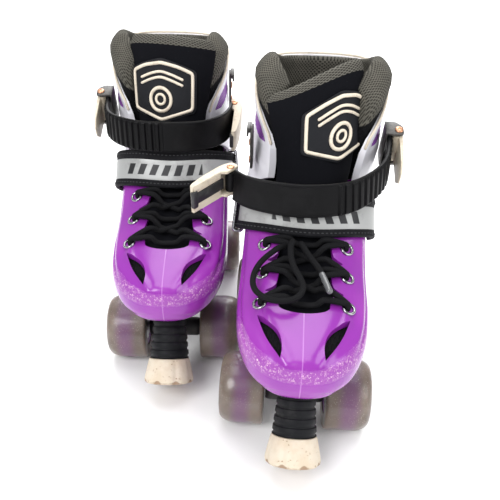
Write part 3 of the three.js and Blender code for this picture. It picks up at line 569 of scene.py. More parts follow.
def finish_shell():
    """Gloss purple plastic: scuffed flecks round the toe, a faint parting line, drifts of tone."""
    made = Finish("shell_purple", Coat_Weight=0.3, Coat_Roughness=0.12, Specular_IOR_Level=0.45)
    tree = made.tree
    place = own_place(tree)
    tone = noise(tree, place, 22, 2)
    colour = blend_colours(tree, between(tree, tone, 0.35, 0.7), (0.235, 0.021, 0.315), (0.290, 0.034, 0.355))
    scuff = attribute(tree, "scuff", "Fac")
    wander = node(tree, "ShaderNodeTexNoise", {"Vector": place, "Scale": 140.0,
                                               "Detail": 2.0}).outputs["Color"]
    bent = node(tree, "ShaderNodeVectorMath", {0: place}, operation="ADD")
    shift = node(tree, "ShaderNodeVectorMath", {0: wander, 1: (0.012, 0.012, 0.012)}, operation="MULTIPLY")
    tree.links.new(shift.outputs[0], bent.inputs[1])
    strokes = cell_edges(tree, stretched(tree, bent.outputs[0], (1.0, 1.0, 0.5), (0.2, 0.7, 0.4)), 760)
    thin = between(tree, strokes, 0.075, 0.01)
    patches = between(tree, noise(tree, place, 380, 3), 0.50, 0.60)
    specks = between(tree, noise(tree, place, 900, 2, 0.7), 0.60, 0.68)
    worn = calc(tree, "ADD", times(tree, thin, patches), times(tree, specks, 0.7))
    spread = between(tree, calc(tree, "ADD", scuff, times(tree, noise(tree, place, 90, 2), 0.45)), 0.58, 1.05)
    worn = calc(tree, "MINIMUM", times(tree, worn, spread), 1.0)
    colour = blend_colours(tree, times(tree, spread, 0.08), colour, (0.62, 0.30, 0.50))
    colour = blend_colours(tree, times(tree, worn, 0.85), colour, (0.88, 0.62, 0.72))
    parting = between(tree, calc(tree, "ABSOLUTE", axes(tree, place)[0]), 0.0005, 0.0002)
    colour = blend_colours(tree, times(tree, parting, 0.22), colour, (0.80, 0.45, 0.85))
    grain = use(tree, GRAIN, Vector=place, Scale=500.0, Depth=0.00002)
    normal = bump(tree, worn, 0.0001, 0.6, grain["Normal"])
    made.set(Base_Color=colour, Normal=normal,
             Roughness=calc(tree, "ADD", 0.24, times(tree, spread, 0.25)))
    return made.material


def finish_cuff():
    """Satin white plastic with a purple mesh panel along the upper edge of each side."""
    made = Finish("cuff_white", Coat_Weight=0.15)
    tree = made.tree
    place = own_place(tree)
    panel = attribute(tree, "panel", "Fac")
    dirt = use(tree, GRIME, Vector=place, Scale=28.0)["Mask"]
    white = blend_colours(tree, times(tree, dirt, 0.25), (0.78, 0.77, 0.82), (0.50, 0.46, 0.42))
    mesh = use(tree, SPACER, Vector=stretched(tree, place, (1, 1, 1), (0, 0, math.pi / 2)), Holes=420.0,
               Depth=0.0003)
    purple = blend_colours(tree, mesh["Hole"], (0.30, 0.08, 0.45), (0.07, 0.01, 0.13))
    inside = between(tree, panel, 0.45, 0.55)
    grain = use(tree, GRAIN, Vector=place, Scale=700.0, Depth=0.00004)
    made.set(Base_Color=blend_colours(tree, inside, white, purple), Normal=grain["Normal"],
             Roughness=between(tree, inside, 0, 1, 0.38, 0.75))
    return made.material


def finish_lining():
    """Grey spacer mesh inside and over the roll, black knit on the outside."""
    made = Finish("boot_lining", Roughness=0.92, Specular_IOR_Level=0.12)
    tree = made.tree
    mesh = use(tree, SPACER, Vector=attribute(tree, "cloth"), Holes=300.0, Depth=0.0008)
    tone = noise(tree, own_place(tree), 70, 2)
    grey = blend_colours(tree, between(tree, tone, 0.3, 0.7), (0.100, 0.095, 0.080), (0.130, 0.122, 0.102))
    grey = blend_colours(tree, mesh["Hole"], grey, (0.035, 0.033, 0.028))
    black = between(tree, attribute(tree, "black", "Fac"), 0.45, 0.55)
    made.set(Base_Color=blend_colours(tree, black, grey, (0.006, 0.006, 0.007)), Normal=mesh["Normal"])
    return made.material


def finish_neoprene():
    """Black knit-faced foam, with a band of grey spacer mesh where the grey value is set."""
    made = Finish("tongue_neoprene", Roughness=0.95, Specular_IOR_Level=0.08)
    tree = made.tree
    place = own_place(tree)
    cloth = attribute(tree, "cloth")
    knit = use(tree, WEAVE, Vector=cloth, Threads=1500.0, Depth=0.00008)
    lint = between(tree, noise(tree, place, 500, 4, 0.7), 0.66, 0.74)
    black = blend_colours(tree, times(tree, lint, 0.35), (0.0048, 0.005, 0.0068), (0.04, 0.04, 0.045))
    mesh = use(tree, SPACER, Vector=cloth, Holes=300.0, Depth=0.0008)
    grey = blend_colours(tree, mesh["Hole"], (0.125, 0.119, 0.102), (0.035, 0.033, 0.028))
    band = between(tree, attribute(tree, "grey", "Fac"), 0.45, 0.55)
    normal = node(tree, "ShaderNodeMix", {0: band}, data_type="VECTOR")
    tree.links.new(knit["Normal"], normal.inputs[4])
    tree.links.new(mesh["Normal"], normal.inputs[5])
    made.set(Base_Color=blend_colours(tree, band, black, grey), Normal=normal.outputs[1])
    return made.material


def finish_webbing():
    """Black coated webbing with a fine weave, greyed in rubbed patches."""
    made = Finish("strap_webbing", Roughness=0.6, Specular_IOR_Level=0.12)
    tree = made.tree
    weave = use(tree, WEAVE, Vector=attribute(tree, "cloth"), Threads=1100.0, Depth=0.00015)
    rubbed = use(tree, GRIME, Vector=own_place(tree), Scale=60.0)["Mask"]
    made.set(Base_Color=blend_colours(tree, times(tree, rubbed, 0.5), (0.006, 0.006, 0.0075),
                                      (0.018, 0.019, 0.022)), Normal=weave["Normal"])
    return made.material


def finish_silver():
    """Silver-grey reflective tape, creased and dulled, with a row of slanted dark bars."""
    made = Finish("strap_silver", Roughness=0.38, Metallic=0.25)
    tree = made.tree
    cloth = attribute(tree, "cloth")
    along, across, _ = axes(tree, cloth)
    dirt = use(tree, GRIME, Vector=own_place(tree), Scale=45.0)["Mask"]
    silver = blend_colours(tree, times(tree, dirt, 0.6), (0.36, 0.365, 0.36), (0.20, 0.20, 0.195))
    slant = calc(tree, "ADD", along, times(tree, across, 0.35))
    wave = calc(tree, "FRACT", times(tree, slant, 105.0))
    bars = times(tree, between(tree, wave, 0.28, 0.32), between(tree, wave, 0.86, 0.82))
    height = between(tree, calc(tree, "ABSOLUTE", across), 0.0043, 0.0040)
    motif = times(tree, attribute(tree, "motif", "Fac"), times(tree, bars, height))
    grain = use(tree, GRAIN, Vector=own_place(tree), Scale=300.0, Depth=0.0001)
    made.set(Base_Color=blend_colours(tree, motif, silver, (0.016, 0.016, 0.018)), Normal=grain["Normal"])
    return made.material


def finish_rubber(name, colour, dusty, roughness, scale=260.0, amount=0.5):
    """Rubber or rubbery plastic with dust in patches."""
    made = Finish(name, Roughness=roughness, Specular_IOR_Level=0.12)
    tree = made.tree
    place = own_place(tree)
    dust = use(tree, GRIME, Vector=place, Scale=40.0)["Mask"]
    grain = use(tree, GRAIN, Vector=place, Scale=scale, Depth=0.00012)
    made.set(Base_Color=blend_colours(tree, times(tree, dust, amount), colour, dusty),
             Normal=grain["Normal"])
    return made.material


def finish_pad():
    """Off-white rubber of the toe stop, brown and torn round its lower rim."""
    made = Finish("stop_pad", Roughness=0.62)
    tree = made.tree
    place = own_place(tree)
    rim = attribute(tree, "rim", "Fac")
    patchy = noise(tree, place, 90, 4, 0.65)
    cream = blend_colours(tree, between(tree, patchy, 0.35, 0.7), (0.68, 0.60, 0.48), (0.62, 0.52, 0.39))
    cream = blend_colours(tree, between(tree, noise(tree, place, 420, 3), 0.62, 0.72), cream,
                          (0.38, 0.27, 0.17))
    worn = between(tree, calc(tree, "ADD", rim, times(tree, noise(tree, place, 240, 4), 0.35)), 0.98, 1.18)
    grain = use(tree, GRAIN, Vector=place, Scale=260.0, Depth=0.0003)
    made.set(Base_Color=blend_colours(tree, times(tree, worn, 0.8), cream, (0.25, 0.14, 0.07)),
             Normal=grain["Normal"])
    return made.material


def finish_metal(name, colour, roughness, dull, scale=120.0):
    made = Finish(name, Metallic=1.0)
    tree = made.tree
    place = own_place(tree)
    spots = use(tree, GRIME, Vector=place, Scale=scale)["Mask"]
    made.set(Base_Color=blend_colours(tree, spots, colour, dull),
             Roughness=between(tree, spots, 0, 1, roughness, roughness + 0.25))
    return made.material


def finish_chassis():
    """Black coated metal with dusty patches and rubbed spots."""
    made = Finish("chassis_black", Roughness=0.45)
    tree = made.tree
    place = own_place(tree)
    dust = use(tree, GRIME, Vector=place, Scale=35.0)["Mask"]
    rubbed = between(tree, noise(tree, place, 260, 4, 0.7), 0.66, 0.72)
    black = blend_colours(tree, times(tree, dust, 0.4), (0.012, 0.012, 0.013), (0.06, 0.055, 0.05))
    grain = use(tree, GRAIN, Vector=place, Scale=500.0, Depth=0.00008)
    made.set(Base_Color=blend_colours(tree, times(tree, rubbed, 0.5), black, (0.16, 0.16, 0.16)),
             Normal=grain["Normal"])
    return made.material


def finish_wheel():
    """Smoky cast tyre: purple core glowing through the middle, greyed edges, glitter of dust."""
    made = Finish("wheel_smoke", Roughness=0.34, Coat_Weight=0.25, Subsurface_Weight=0.15,
                  Subsurface_Scale=0.004)
    tree = made.tree
    place = own_place(tree)
    across = attribute(tree, "across", "Fac")
    drift = times(tree, calc(tree, "SUBTRACT", noise(tree, place, 40, 3), 0.5), 0.35)
    core = between(tree, calc(tree, "ABSOLUTE", calc(tree, "ADD", across, drift)), 0.62, 0.08)
    smoke = blend_colours(tree, between(tree, noise(tree, place, 55, 4), 0.35, 0.7), (0.120, 0.090, 0.070),
                          (0.190, 0.150, 0.122))
    colour = blend_colours(tree, times(tree, core, 0.75), smoke, (0.15, 0.055, 0.150))
    glitter = between(tree, noise(tree, place, 1300, 1, 0.6), 0.665, 0.70)
    spread = between(tree, noise(tree, place, 48, 2), 0.42, 0.66)
    colour = blend_colours(tree, times(tree, times(tree, glitter, spread), 0.6), colour,
                           (0.62, 0.53, 0.46))
    grain = use(tree, GRAIN, Vector=place, Scale=420.0, Depth=0.00008)
    made.set(Base_Color=colour, Normal=grain["Normal"],
             Roughness=between(tree, spread, 0, 1, 0.3, 0.5))
    return made.material


def finish_buckle():
    """Cream moulded plastic, browned in patches, with rubbed marks."""
    made = Finish("buckle_cream", Roughness=0.45)
    tree = made.tree
    place = own_place(tree)
    dirt = use(tree, GRIME, Vector=place, Scale=85.0)["Mask"]
    streak = between(tree, noise(tree, stretched(tree, place, (1, 0.2, 1)), 320, 3), 0.58, 0.68)
    cream = blend_colours(tree, times(tree, dirt, 0.6), (0.62, 0.55, 0.43), (0.36, 0.28, 0.19))
    cream = blend_colours(tree, times(tree, streak, 0.3), cream, (0.36, 0.30, 0.24))
    grain = use(tree, GRAIN, Vector=place, Scale=400.0, Depth=0.0001)
    made.set(Base_Color=cream, Normal=grain["Normal"])
    return made.material


def finish_lace():
    """Round braided lace: slanted strands, matt and slightly furry, with painted shade where the strands dip."""
    made = Finish("lace_braid", Roughness=0.88, Specular_IOR_Level=0.1)
    tree = made.tree
    turned = stretched(tree, attribute(tree, "cloth"), (1, 1, 1), (0, 0, math.pi / 4))
    braid_and_painted_shade = use(tree, WEAVE, Vector=turned, Threads=1050.0, Depth=0.0003)
    # Painted shade: the colour darkens with the braid's height, so the dips between strands are painted darker
    # than the crests.
    made.set(Base_Color=blend_colours(tree, braid_and_painted_shade["Height"], (0.0035, 0.0035, 0.004), (0.014, 0.014, 0.0155)),
             Normal=braid_and_painted_shade["Normal"])
    return made.material


def finish_plain(name, colour, roughness, coat=0.0, marks=(0.5, 0.5, 0.5), amount=0.15, **more):
    """A small moulded or painted part: one colour with a little dirt and grain."""
    made = Finish(name, Roughness=roughness, Coat_Weight=coat, **more)
    tree = made.tree
    place = own_place(tree)
    dirt = use(tree, GRIME, Vector=place, Scale=90.0)["Mask"]
    grain = use(tree, GRAIN, Vector=place, Scale=500.0, Depth=0.00005)
    made.set(Base_Color=blend_colours(tree, times(tree, dirt, amount), colour, marks),
             Normal=grain["Normal"])
    return made.material


SHELL = finish_shell()
CUFF = finish_cuff()
LINING = finish_lining()
NEOPRENE = finish_neoprene()
WEBBING = finish_webbing()
SILVER = finish_silver()
STRAP_RUBBER = finish_rubber("ankle_strap_rubber", (0.0035, 0.0035, 0.004), (0.012, 0.012, 0.013), 0.42,
                             amount=0.3)
STEM_RUBBER = finish_rubber("stem_rubber", (0.010, 0.0105, 0.012), (0.032, 0.031, 0.030), 0.5)
CUSHION_RUBBER = finish_rubber("cushion_rubber", (0.035, 0.034, 0.034), (0.09, 0.085, 0.08), 0.7)
BADGE_RUBBER = finish_rubber("badge_rubber", (0.013, 0.0135, 0.016), (0.035, 0.035, 0.038), 0.6, amount=0.3)
PAD = finish_pad()
CHASSIS = finish_chassis()
STEEL = finish_metal("axle_steel", (0.55, 0.55, 0.56), 0.3, (0.30, 0.27, 0.24))
CHROME = finish_metal("dark_chrome", (0.36, 0.36, 0.38), 0.18, (0.14, 0.135, 0.13), 200.0)
COPPER = finish_metal("copper_rivet", (0.62, 0.33, 0.20), 0.35, (0.30, 0.16, 0.10), 300.0)
WHEEL = finish_wheel()
BUCKLE = finish_buckle()
LACE = finish_lace()
CREAM = finish_plain("cream_rubber", (0.72, 0.64, 0.52), 0.6, marks=(0.40, 0.33, 0.26), amount=0.5)
BRACKET = finish_plain("bracket_dark", (0.060, 0.058, 0.055), 0.4, marks=(0.17, 0.155, 0.14), amount=0.5,
                       Metallic=0.5)
CORE = finish_plain("wheel_core", (0.16, 0.03, 0.25), 0.3, coat=0.3, marks=(0.25, 0.16, 0.25))
BLACK_PLASTIC = finish_plain("black_plastic", (0.014, 0.014, 0.015), 0.45, marks=(0.06, 0.058, 0.055),
                             amount=0.6)
THREAD = finish_plain("stitch_thread", (0.028, 0.029, 0.032), 0.8, marks=(0.07, 0.07, 0.07))
AGLET = finish_plain("aglet_clear", (0.085, 0.088, 0.092), 0.15, coat=0.8, marks=(0.14, 0.14, 0.14))


# ---- the boot's form ----

# Share of the length from the toe, share of the width, lift of the underside, and height of the crown.
BOOT_STATIONS = [
    (0.000, 0.02, 17.0, 21.0), (0.002, 0.16, 12.5, 26.5), (0.010, 0.36, 6.5, 31.5), (0.034, 0.59, 2.0, 35.5),
    (0.069, 0.76, 0.5, 39.0), (0.129, 0.90, 0.0, 44.0), (0.188, 0.965, 0.0, 48.7), (0.276, 1.00, 0.0, 55.5),
    (0.363, 1.00, 0.0, 66.0), (0.435, 0.995, 0.0, 84.0), (0.498, 0.99, 0.0, 100.0), (0.665, 0.93, 0.0, 104.0),
    (0.784, 0.92, 0.0, 104.0), (0.871, 0.84, 0.0, 104.0), (0.943, 0.62, 0.0, 76.0), (0.975, 0.41, 0.5, 44.0),
    (1.000, 0.12, 7.0, 17.0),
]
# The stations are read at the root of the share, so that the nose comes out round.
BOOT_TABLE = [(share ** 0.5, *rest) for share, *rest in BOOT_STATIONS]


def boot_y(share):
    return TOE_TIP + share * SHELL_LENGTH


def boot_section(share, inset):
    key = max(share, 0) ** 0.5
    width, lift, crown = (float(curve_between(BOOT_TABLE, key, column)) for column in (1, 2, 3))
    low = SOLE_HEIGHT + lift + inset
    high = max(SOLE_HEIGHT + crown - inset, low + 1.5)
    return max(width * (SHELL_WIDTH / 2 - inset), 0.5), low, high


def boot_top(x, y, inset=0.0):
    """Height of the boot's upper surface over a point in plan."""
    half, low, high = boot_section((y - TOE_TIP) / SHELL_LENGTH, inset)
    reach = 1 - min(abs(x) / half, 1) ** SECTION_POWER
    return (low + high) / 2 + (high - low) / 2 * reach ** (1 / SECTION_POWER)


def bulge(value, power=2 / SECTION_POWER):
    return math.copysign(abs(value) ** power, value)


RIDGE = [(27.5, -96), (24.3, -107), (18, -119), (11.5, -130), (9.5, -136)]
VENT_HEAD, VENT_TIP = (29.5, boot_y(0.15)), (13.5, boot_y(0.027))


def distance_to_line(x, y, line):
    best = 1e9
    for (ax, ay), (bx, by) in zip(line, line[1:]):
        reach = (x - ax) * (bx - ax) + (y - ay) * (by - ay)
        share = min(max(reach / ((bx - ax) ** 2 + (by - ay) ** 2), 0), 1)
        best = min(best, math.hypot(x - ax - share * (bx - ax), y - ay - share * (by - ay)))
    return best


def hump(distance, width):
    return math.exp(-(distance / width) ** 2)


def moulding(x, y, z, turn, share):
    """How far the shell's outer surface stands out of the plain form: ridges, creases and the sole's welt."""
    out = 0.0
    if math.sin(turn) > 0.2 and share < 0.25:
        out += 1.3 * hump(distance_to_line(abs(x), y, RIDGE), 2.3)
        out -= 0.9 * hump(distance_to_line(abs(x), y, [VENT_HEAD, VENT_TIP]) - 3.5, 3.2)
    side = math.degrees(math.asin(max(min(math.sin(turn), 1), -1)))
    fade = float(smoothstep(share, 0.05, 0.14) * (1 - smoothstep(share, 0.86, 0.95)))
    out -= 1.3 * hump(side - 20, 4.2) * fade
    out += 0.7 * hump(side - 31, 6.0) * fade
    welt = SOLE_HEIGHT + 9 + 2.2 * math.cos(x / 9) * float(1 - smoothstep(share, 0.03, 0.12))
    out -= 1.0 * hump(z - welt, 1.7)
    out += 0.7 * hump(z - (SOLE_HEIGHT + 4.5), 3.2)
    return out


def boot_form(inset, shares, sides, detail=False):
    rings = []
    for share in shares:
        half, low, high = boot_section(share, inset)
        y = boot_y(share) + inset * (1 - 2 * share)
        tall = (high - low) / 2
        ring = []
        for i in range(sides):
            turn = 2 * math.pi * (i + 0.5) / sides
            x, z = half * bulge(math.cos(turn)), (low + high) / 2 + tall * bulge(math.sin(turn))
            if detail:
                out = moulding(x, y, z, turn, share) * eased(share, 0.0, 0.012)
                lean = Vector((x / half ** 2, 0, (z - (low + high) / 2) / tall ** 2)).normalized()
                x, z = x + lean.x * out, z + lean.z * out
            ring.append((x, y, max(z, SOLE_HEIGHT) if detail else z))
        rings.append(ring)
    return loft(rings)


def prism(outline, low, high, axis="z"):
    """A flat outline drawn out along an axis, with sharp edges, for cutting."""
    order = {"z": lambda u, v, w: (u, v, w), "x": lambda u, v, w: (w, u, v)}[axis]
    return loft([[order(u, v, level) for u, v in outline] for level in (low, high)])


def mirrored(half):
    return [*half, *[(-x, y) for x, y in half[::-1]]]


def top_edge(drop=0.0):
    """Everything over the shell's top edge, from the instep to the heel."""
    edge = [(0.41, 96), (0.44, 88), (0.475, 84), (0.51, 83), (0.545, 83), (0.59, 79), (0.64, 74.5),
            (0.70, 71.5),
            (0.78, 70), (0.84, 71.5), (0.90, 74), (0.96, 76), (1.1, 78)]
    line = [(boot_y(share), SOLE_HEIGHT + height - drop) for share, height in edge]
    return prism([*line, (line[-1][0], ARCH_TOP), (line[0][0], ARCH_TOP)], -60, 60, "x")


def lace_opening():
    """The lace opening in plan: a round front, then a lobe at each eyelet, flaring to the ankle."""
    front = boot_y(0.147)
    half = [(16.5 * math.sin(t), front + 6.5 * (1 - math.cos(t))) for t in np.linspace(0.08, 1.45, 8)]
    for share in EYELET_ROWS:
        y = boot_y(share)
        half += [(16.9, y + 2), (17.4, y + 5), (19.5, y + 7.2), (22.5, y + 8.6),
                 (25.4, y + 9.6), (25.2, y + 10.6), (22, y + 11.8), (19.3, y + 13.6),
                 (18.2, y + 16.5)]
    half = half[:-2]
    half += [(21, boot_y(0.43)), (27, boot_y(0.447)), (36, boot_y(0.47))]
    return prism(mirrored(half), SOLE_HEIGHT + 30, ARCH_TOP)


def ankle_well():
    half = [(36, boot_y(0.465))]
    shares = (0.5, 0.58, 0.665, 0.784, 0.871, 0.92)
    half += [(boot_section(share, SHELL_WALL)[0] + 0.3, boot_y(share)) for share in shares]
    return prism(mirrored(half), SOLE_HEIGHT + 50, ARCH_TOP)


def toe_vent(sign):
    (hx, hy), (tx, ty) = VENT_HEAD, VENT_TIP
    length = math.hypot(tx - hx, ty - hy)
    ax, ay = (tx - hx) / length, (ty - hy) / length
    outline = []
    for s in np.linspace(0, 1, 15)[:-1]:
        outline.append((s, -1.7 * math.sin(math.pi * s)))
    for s in np.linspace(1, 0, 15)[:-1]:
        outline.append((s, 6.2 * math.sin(math.pi * s ** 1.15) ** 0.85))
    points = [(sign * (hx + ax * s * length + ay * o), hy + ay * s * length - ax * o) for s, o in outline]
    return prism(points, SOLE_HEIGHT + 22, 200)


def scuff_value(point):
    """Where the toe has been dragged: a band round the nose, thinning towards the sides."""
    x, y, z = point
    band = 97.5 + 0.004 * x * x - max(0.0, (y + 128) * 0.02)
    width = 3.4 + 0.045 * abs(x)
    near = hump((z - band) / width, 1.0) * float(1 - smoothstep(y, -112, -78))
    speckle = 0.30 * float(1 - smoothstep(y, -105, -55)) * hump(z - 95, 22)
    centre = 0.24 * hump(x, 9) * hump(y + 131, 9) * eased(z, 92, 104)
    return min(near + speckle + centre, 1.3)


def make_shell(side):
    nose = [0.31 * (k / 92) ** 1.7 for k in range(93)]
    rest = list(np.linspace(0.316, 0.94, 66)) + list(np.linspace(0.948, 1.0, 14))
    outer = boot_form(0, nose + rest, 168, detail=True)
    inner = boot_form(SHELL_WALL, list(np.linspace(0, 1, 60) ** 1.3), 64)
    tools = [inner, top_edge(), ankle_well(), lace_opening(), toe_vent(1), toe_vent(-1)]
    reach = Vector((60, 0, 0))
    tools.append(rod(CUFF_PIVOT - reach, CUFF_PIVOT + reach, PIVOT_HOLE_RADIUS, sides=32, edge=0.01))
    mesh = cut(outer, tools)
    largest_island(mesh)
    values = [scuff_value(v.co) for v in mesh.vertices]
    mesh.attributes.new("scuff", "FLOAT", "POINT").data.foreach_set("value", values)
    return make(side, "shell_moulding", mesh, SHELL, "boot", ["shell"], sharp=38)


def largest_island(mesh):
    """Keeps only the biggest connected body of a mesh."""
    work = bmesh.new()
    work.from_mesh(mesh)
    left, islands = set(work.verts), []
    while left:
        stack, island = [left.pop()], set()
        while stack:
            vert = stack.pop()
            island.add(vert)
            for edge in vert.link_edges:
                other = edge.other_vert(vert)
                if other in left:
                    left.remove(other)
                    stack.append(other)
        islands.append(island)
    keep = max(islands, key=len)
    bmesh.ops.delete(work, geom=[v for v in work.verts if v not in keep], context="VERTS")
    work.to_mesh(mesh)
    work.free()


# ---- padded boot ----

CUFF_STATIONS = [
    (104, 50, 48.8, 78, 69, 0), (135, 48, 48.8, 76, 65, 0), (150, 46, 48.4, 72, 63, 0.2),
                 (165, 44, 47.2, 57, 58, 0.6),
    (190, 42, 47.2, 54, 53, 1), (215, 41, 48.2, 52, 51, 1.1), (248, 41, 50.0, 51, 50, 1.2),
]
OVAL_BULGE = 0.86


def cuff_point(z, inset, turn):
    middle, half, ahead, behind, shift = (float(curve_between(CUFF_STATIONS, z, k)) for k in range(1, 6))
    reach = (ahead if math.sin(turn) < 0 else behind) - inset
    return Vector((-shift * CUFF_SIDE_SHIFT + (half - inset) * bulge(math.cos(turn), OVAL_BULGE),
                   middle + reach * bulge(math.sin(turn), OVAL_BULGE), z))


COLLAR_TOP = [(-30, 208), (-10, 215), (2, 226), (12, 238), (22, 244.5), (34, 246), (50, 243), (68, 238),
              (90, 235.5),
              (130, 235)]
COLLAR_LOW = [(-30, 171), (20, 164), (40, 156), (70, 152), (130, 152)]


def make_liner(side):
    """The padded boot: a sock in the shell and a padded roll round the leg, as one soft piece."""
    shares = list(np.linspace(0.012, 0.985, 70))
    foot = cut(boot_form(SHELL_WALL + 0.7, shares, 64),
               [boot_form(SHELL_WALL + 0.7 + LINER_WALL, list(np.linspace(0.02, 0.98, 50)), 48), top_edge(3),
                prism(mirrored([(23, boot_y(0.15)), (23, boot_y(0.40)), (34, boot_y(0.47))]),
                      SOLE_HEIGHT + 28, ARCH_TOP),
                prism(mirrored([(30, boot_y(0.465)), (31, boot_y(0.784)), (27, boot_y(0.871)),
                                (20, boot_y(0.92))]),
                      SOLE_HEIGHT + 50, ARCH_TOP)])
    largest_island(foot)
    form = Form()
    count = len(foot.vertices)
    form.add([tuple(v.co) for v in foot.vertices], [list(p.vertices) for p in foot.polygons],
             cloth=[tuple(v.co * MM) for v in foot.vertices], black=[1.0] * count)
    form.merge(collar_form())
    piece = make(side, "padded_boot", form, LINING, "boot", ["foot_liner", "collar"], sharp=60,
                 ride=False)
    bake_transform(piece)
    return piece


def collar_form():
    """The roll: from one front edge round the heel to the other, thick at the top and thin at the foot."""
    first, last = math.radians(-52), math.radians(232)
    columns, around = 120, 36
    rings, cloth, black = [], [], []
    for i, turn in enumerate(np.linspace(first, last, columns)):
        share = i / (columns - 1)
        end = min(share, 1 - share) * (columns - 1) / 4
        ease = math.sqrt(max(1 - (1 - min(end, 1)) ** 2, 0.0)) if end < 1 else 1.0
        y = cuff_point(215, CUFF_WALL + 1 + COLLAR_WALL / 2, turn).y
        top = float(np.interp(y, *zip(*COLLAR_TOP)))
        low = float(np.interp(y, *zip(*COLLAR_LOW)))
        edge = float(np.interp(y, *zip(*CUFF_EDGE)))
        ring = []
        for k in range(around):
            a = 2 * math.pi * k / around
            up = bulge(math.sin(a), 0.42)
            z = (top + low) / 2 + (top - low) / 2 * up
            puff = 1.0 + 0.22 * hump(z - (top - 9), 12) - 0.25 * eased(low + 20 - z, 0, 20)
            half_wall = COLLAR_WALL / 2 * puff * max(ease, 0.05)
            inset = CUFF_WALL + 1.2 + COLLAR_WALL / 2 - half_wall * bulge(math.cos(a), 0.8)
            inset -= 3.8 * eased(z, edge + 1, edge + 10) * max(math.cos(a), -0.3)
            inset += 4.5 * eased(z, top - 13, top + 2)
            at = cuff_point(z, inset, turn)
            ring.append(tuple(at))
            cloth.append((turn * 46 * MM, 0, (z + 1.6 * inset) * MM))
            under = min(top - 7, edge + 7) - z
            black.append(min(max(0.5 + under / 20, 0.0), 1.0) if math.cos(a) > 0.2 else 0.0)
        rings.append(ring)
    return loft(rings, cloth=cloth, black=black)


# Height, front face and half width of the tongue, from the toe end of the lacing to its top.
def tongue_spine():
    spine = []
    for share in (0.150, 0.19, 0.235, 0.28, 0.325, 0.37, 0.405, 0.435):
        y = boot_y(share)
        spine.append((y, boot_top(0, y, SHELL_WALL + 2.6), 22.0, 0.0))
    spine += [(-26.5, 160, 24.5, 0.25), (-25.5, 172, 27.5, 1), (-20.5, 188, 29.5, 1), (-13.2, 210, 33, 1),
              (-7.2, 230, 37, 1), (-3.8, 242, 38, 1), (-1.5, 249.5, 35, 1)]
    return spine


def tongue_frame(share, spine):
    keys = np.linspace(0, 1, len(spine))
    table = [(key, *row) for key, row in zip(keys, spine)]
    return [float(curve_between(table, share, column)) for column in (1, 2, 3, 4)]


TONGUE_TWIST = {"right": -9, "left": -20}
TONGUE_SLANT = {"right": 2, "left": 20}


def tongue_point(side, share, across, depth, spine):
    """A point on the tongue: across runs from -1 to 1, and depth is how far behind its front face."""
    y, z, half, ankle = tongue_frame(share, spine)
    ahead = tongue_frame(min(share + 0.004, 1), spine)
    behind = tongue_frame(max(share - 0.004, 0), spine)
    along = Vector((0, ahead[0] - behind[0], ahead[1] - behind[1])).normalized()
    out = Vector((0, -along.z, along.y))
    x = across * half
    bow = (0.0135 - 0.0055 * eased(z, 200, 235)) * x * x
    flat_x = x * (1 - 0.10 * ankle * across * across)
    if ankle < 1:
        low_drop = boot_top(0, y, SHELL_WALL + 2.6) - boot_top(x, y, SHELL_WALL + 2.6) if y < -26 else bow
        bow = bow * ankle + low_drop * (1 - ankle)
    point = Vector((flat_x, y, z)) - out * (bow + depth)
    point.z -= TONGUE_SLANT[side] * float(smoothstep(across, -0.9, 1.1) * smoothstep(share, 0.6, 1.0))
    turn = math.radians(TONGUE_TWIST[side]) * eased(z, 158, 215)
    pivot = Vector((0, 10, 0))
    return pivot + Matrix.Rotation(turn, 3, "Z") @ (point - pivot)


def make_tongue(side):
    """One padded tongue from the toe end of the lacing to its rolled grey top."""
    spine = tongue_spine()
    around, rows = 56, 130
    rings, cloth, grey = [], [], []
    for r in range(rows):
        share = r / (rows - 1)
        close = min(share * rows / 2.5, (1 - share) * rows / 4.0, 1)
        ease = math.sqrt(max(1 - (1 - close) ** 2, 0.004))
        ring = []
        for k in range(around):
            a = 2 * math.pi * k / around
            across = bulge(math.cos(a), 0.55) * (0.92 + 0.08 * ease)
            thick = TONGUE_WALL / 2 * ease * (1 - 0.35 * abs(across) ** 4)
            quilt = 0.5 * hump(share - 0.62, 0.3)
            depth = TONGUE_WALL / 2 - (thick + quilt) * bulge(math.sin(a), 0.7)
            point = tongue_point(side, share, across, depth, spine)
            ring.append(tuple(point))
            cloth.append((across * 30 * MM, 0, share * 205 * MM))
            front = math.sin(a) > -0.2
            grey.append(1.0 if (share > 0.934 and front) or not front else 0.0)
        rings.append(ring)
    form = loft(rings, cloth=cloth, grey=grey)
    piece = make(side, "tongue", form, NEOPRENE, "boot", ["instep_tongue", "ankle_tongue"],
                 sharp=70,
                 ride=False)
    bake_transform(piece)
    return piece


# ---- cuff ----

CUFF_OUTLINE = [(-1, 167), (-0.6, 178), (0.4, 188), (4, 197), (11, 205), (20, 213), (32, 220.5), (46, 227),
                (60, 231.5),
                (84, 235), (130, 236), (130, 124), (84, 118), (64, 112), (54, 108.3), (47, 107), (40, 108.6),
                (34, 113),
                (29, 120), (27, 128), (25.6, 140), (22, 150), (14, 158), (5, 163)]
CUFF_EDGE = [(0.4, 188), (4, 197), (11, 205), (20, 213), (32, 220.5), (46, 227), (60, 231.5), (84, 235),
             (130, 236)]
CUFF_PANEL = [(5, 191), (12, 201), (32, 214), (60, 224), (84, 227), (130, 228), (130, 208), (84, 206),
              (55, 203),
              (30, 197), (14, 191)]


def inside_value(point, outline):
    """How far a point lies inside an outline, from 0 outside to 1 well inside."""
    x, y = point
    inside, nearest = False, 1e9
    for (ax, ay), (bx, by) in zip(outline, outline[1:] + outline[:1]):
        if (ay > y) != (by > y) and x < (bx - ax) * (y - ay) / (by - ay) + ax:
            inside = not inside
        nearest = min(nearest, distance_to_line(x, y, [(ax, ay), (bx, by)]))
    return 0.5 + (0.5 if inside else -0.5) * min(nearest / 0.9, 1)


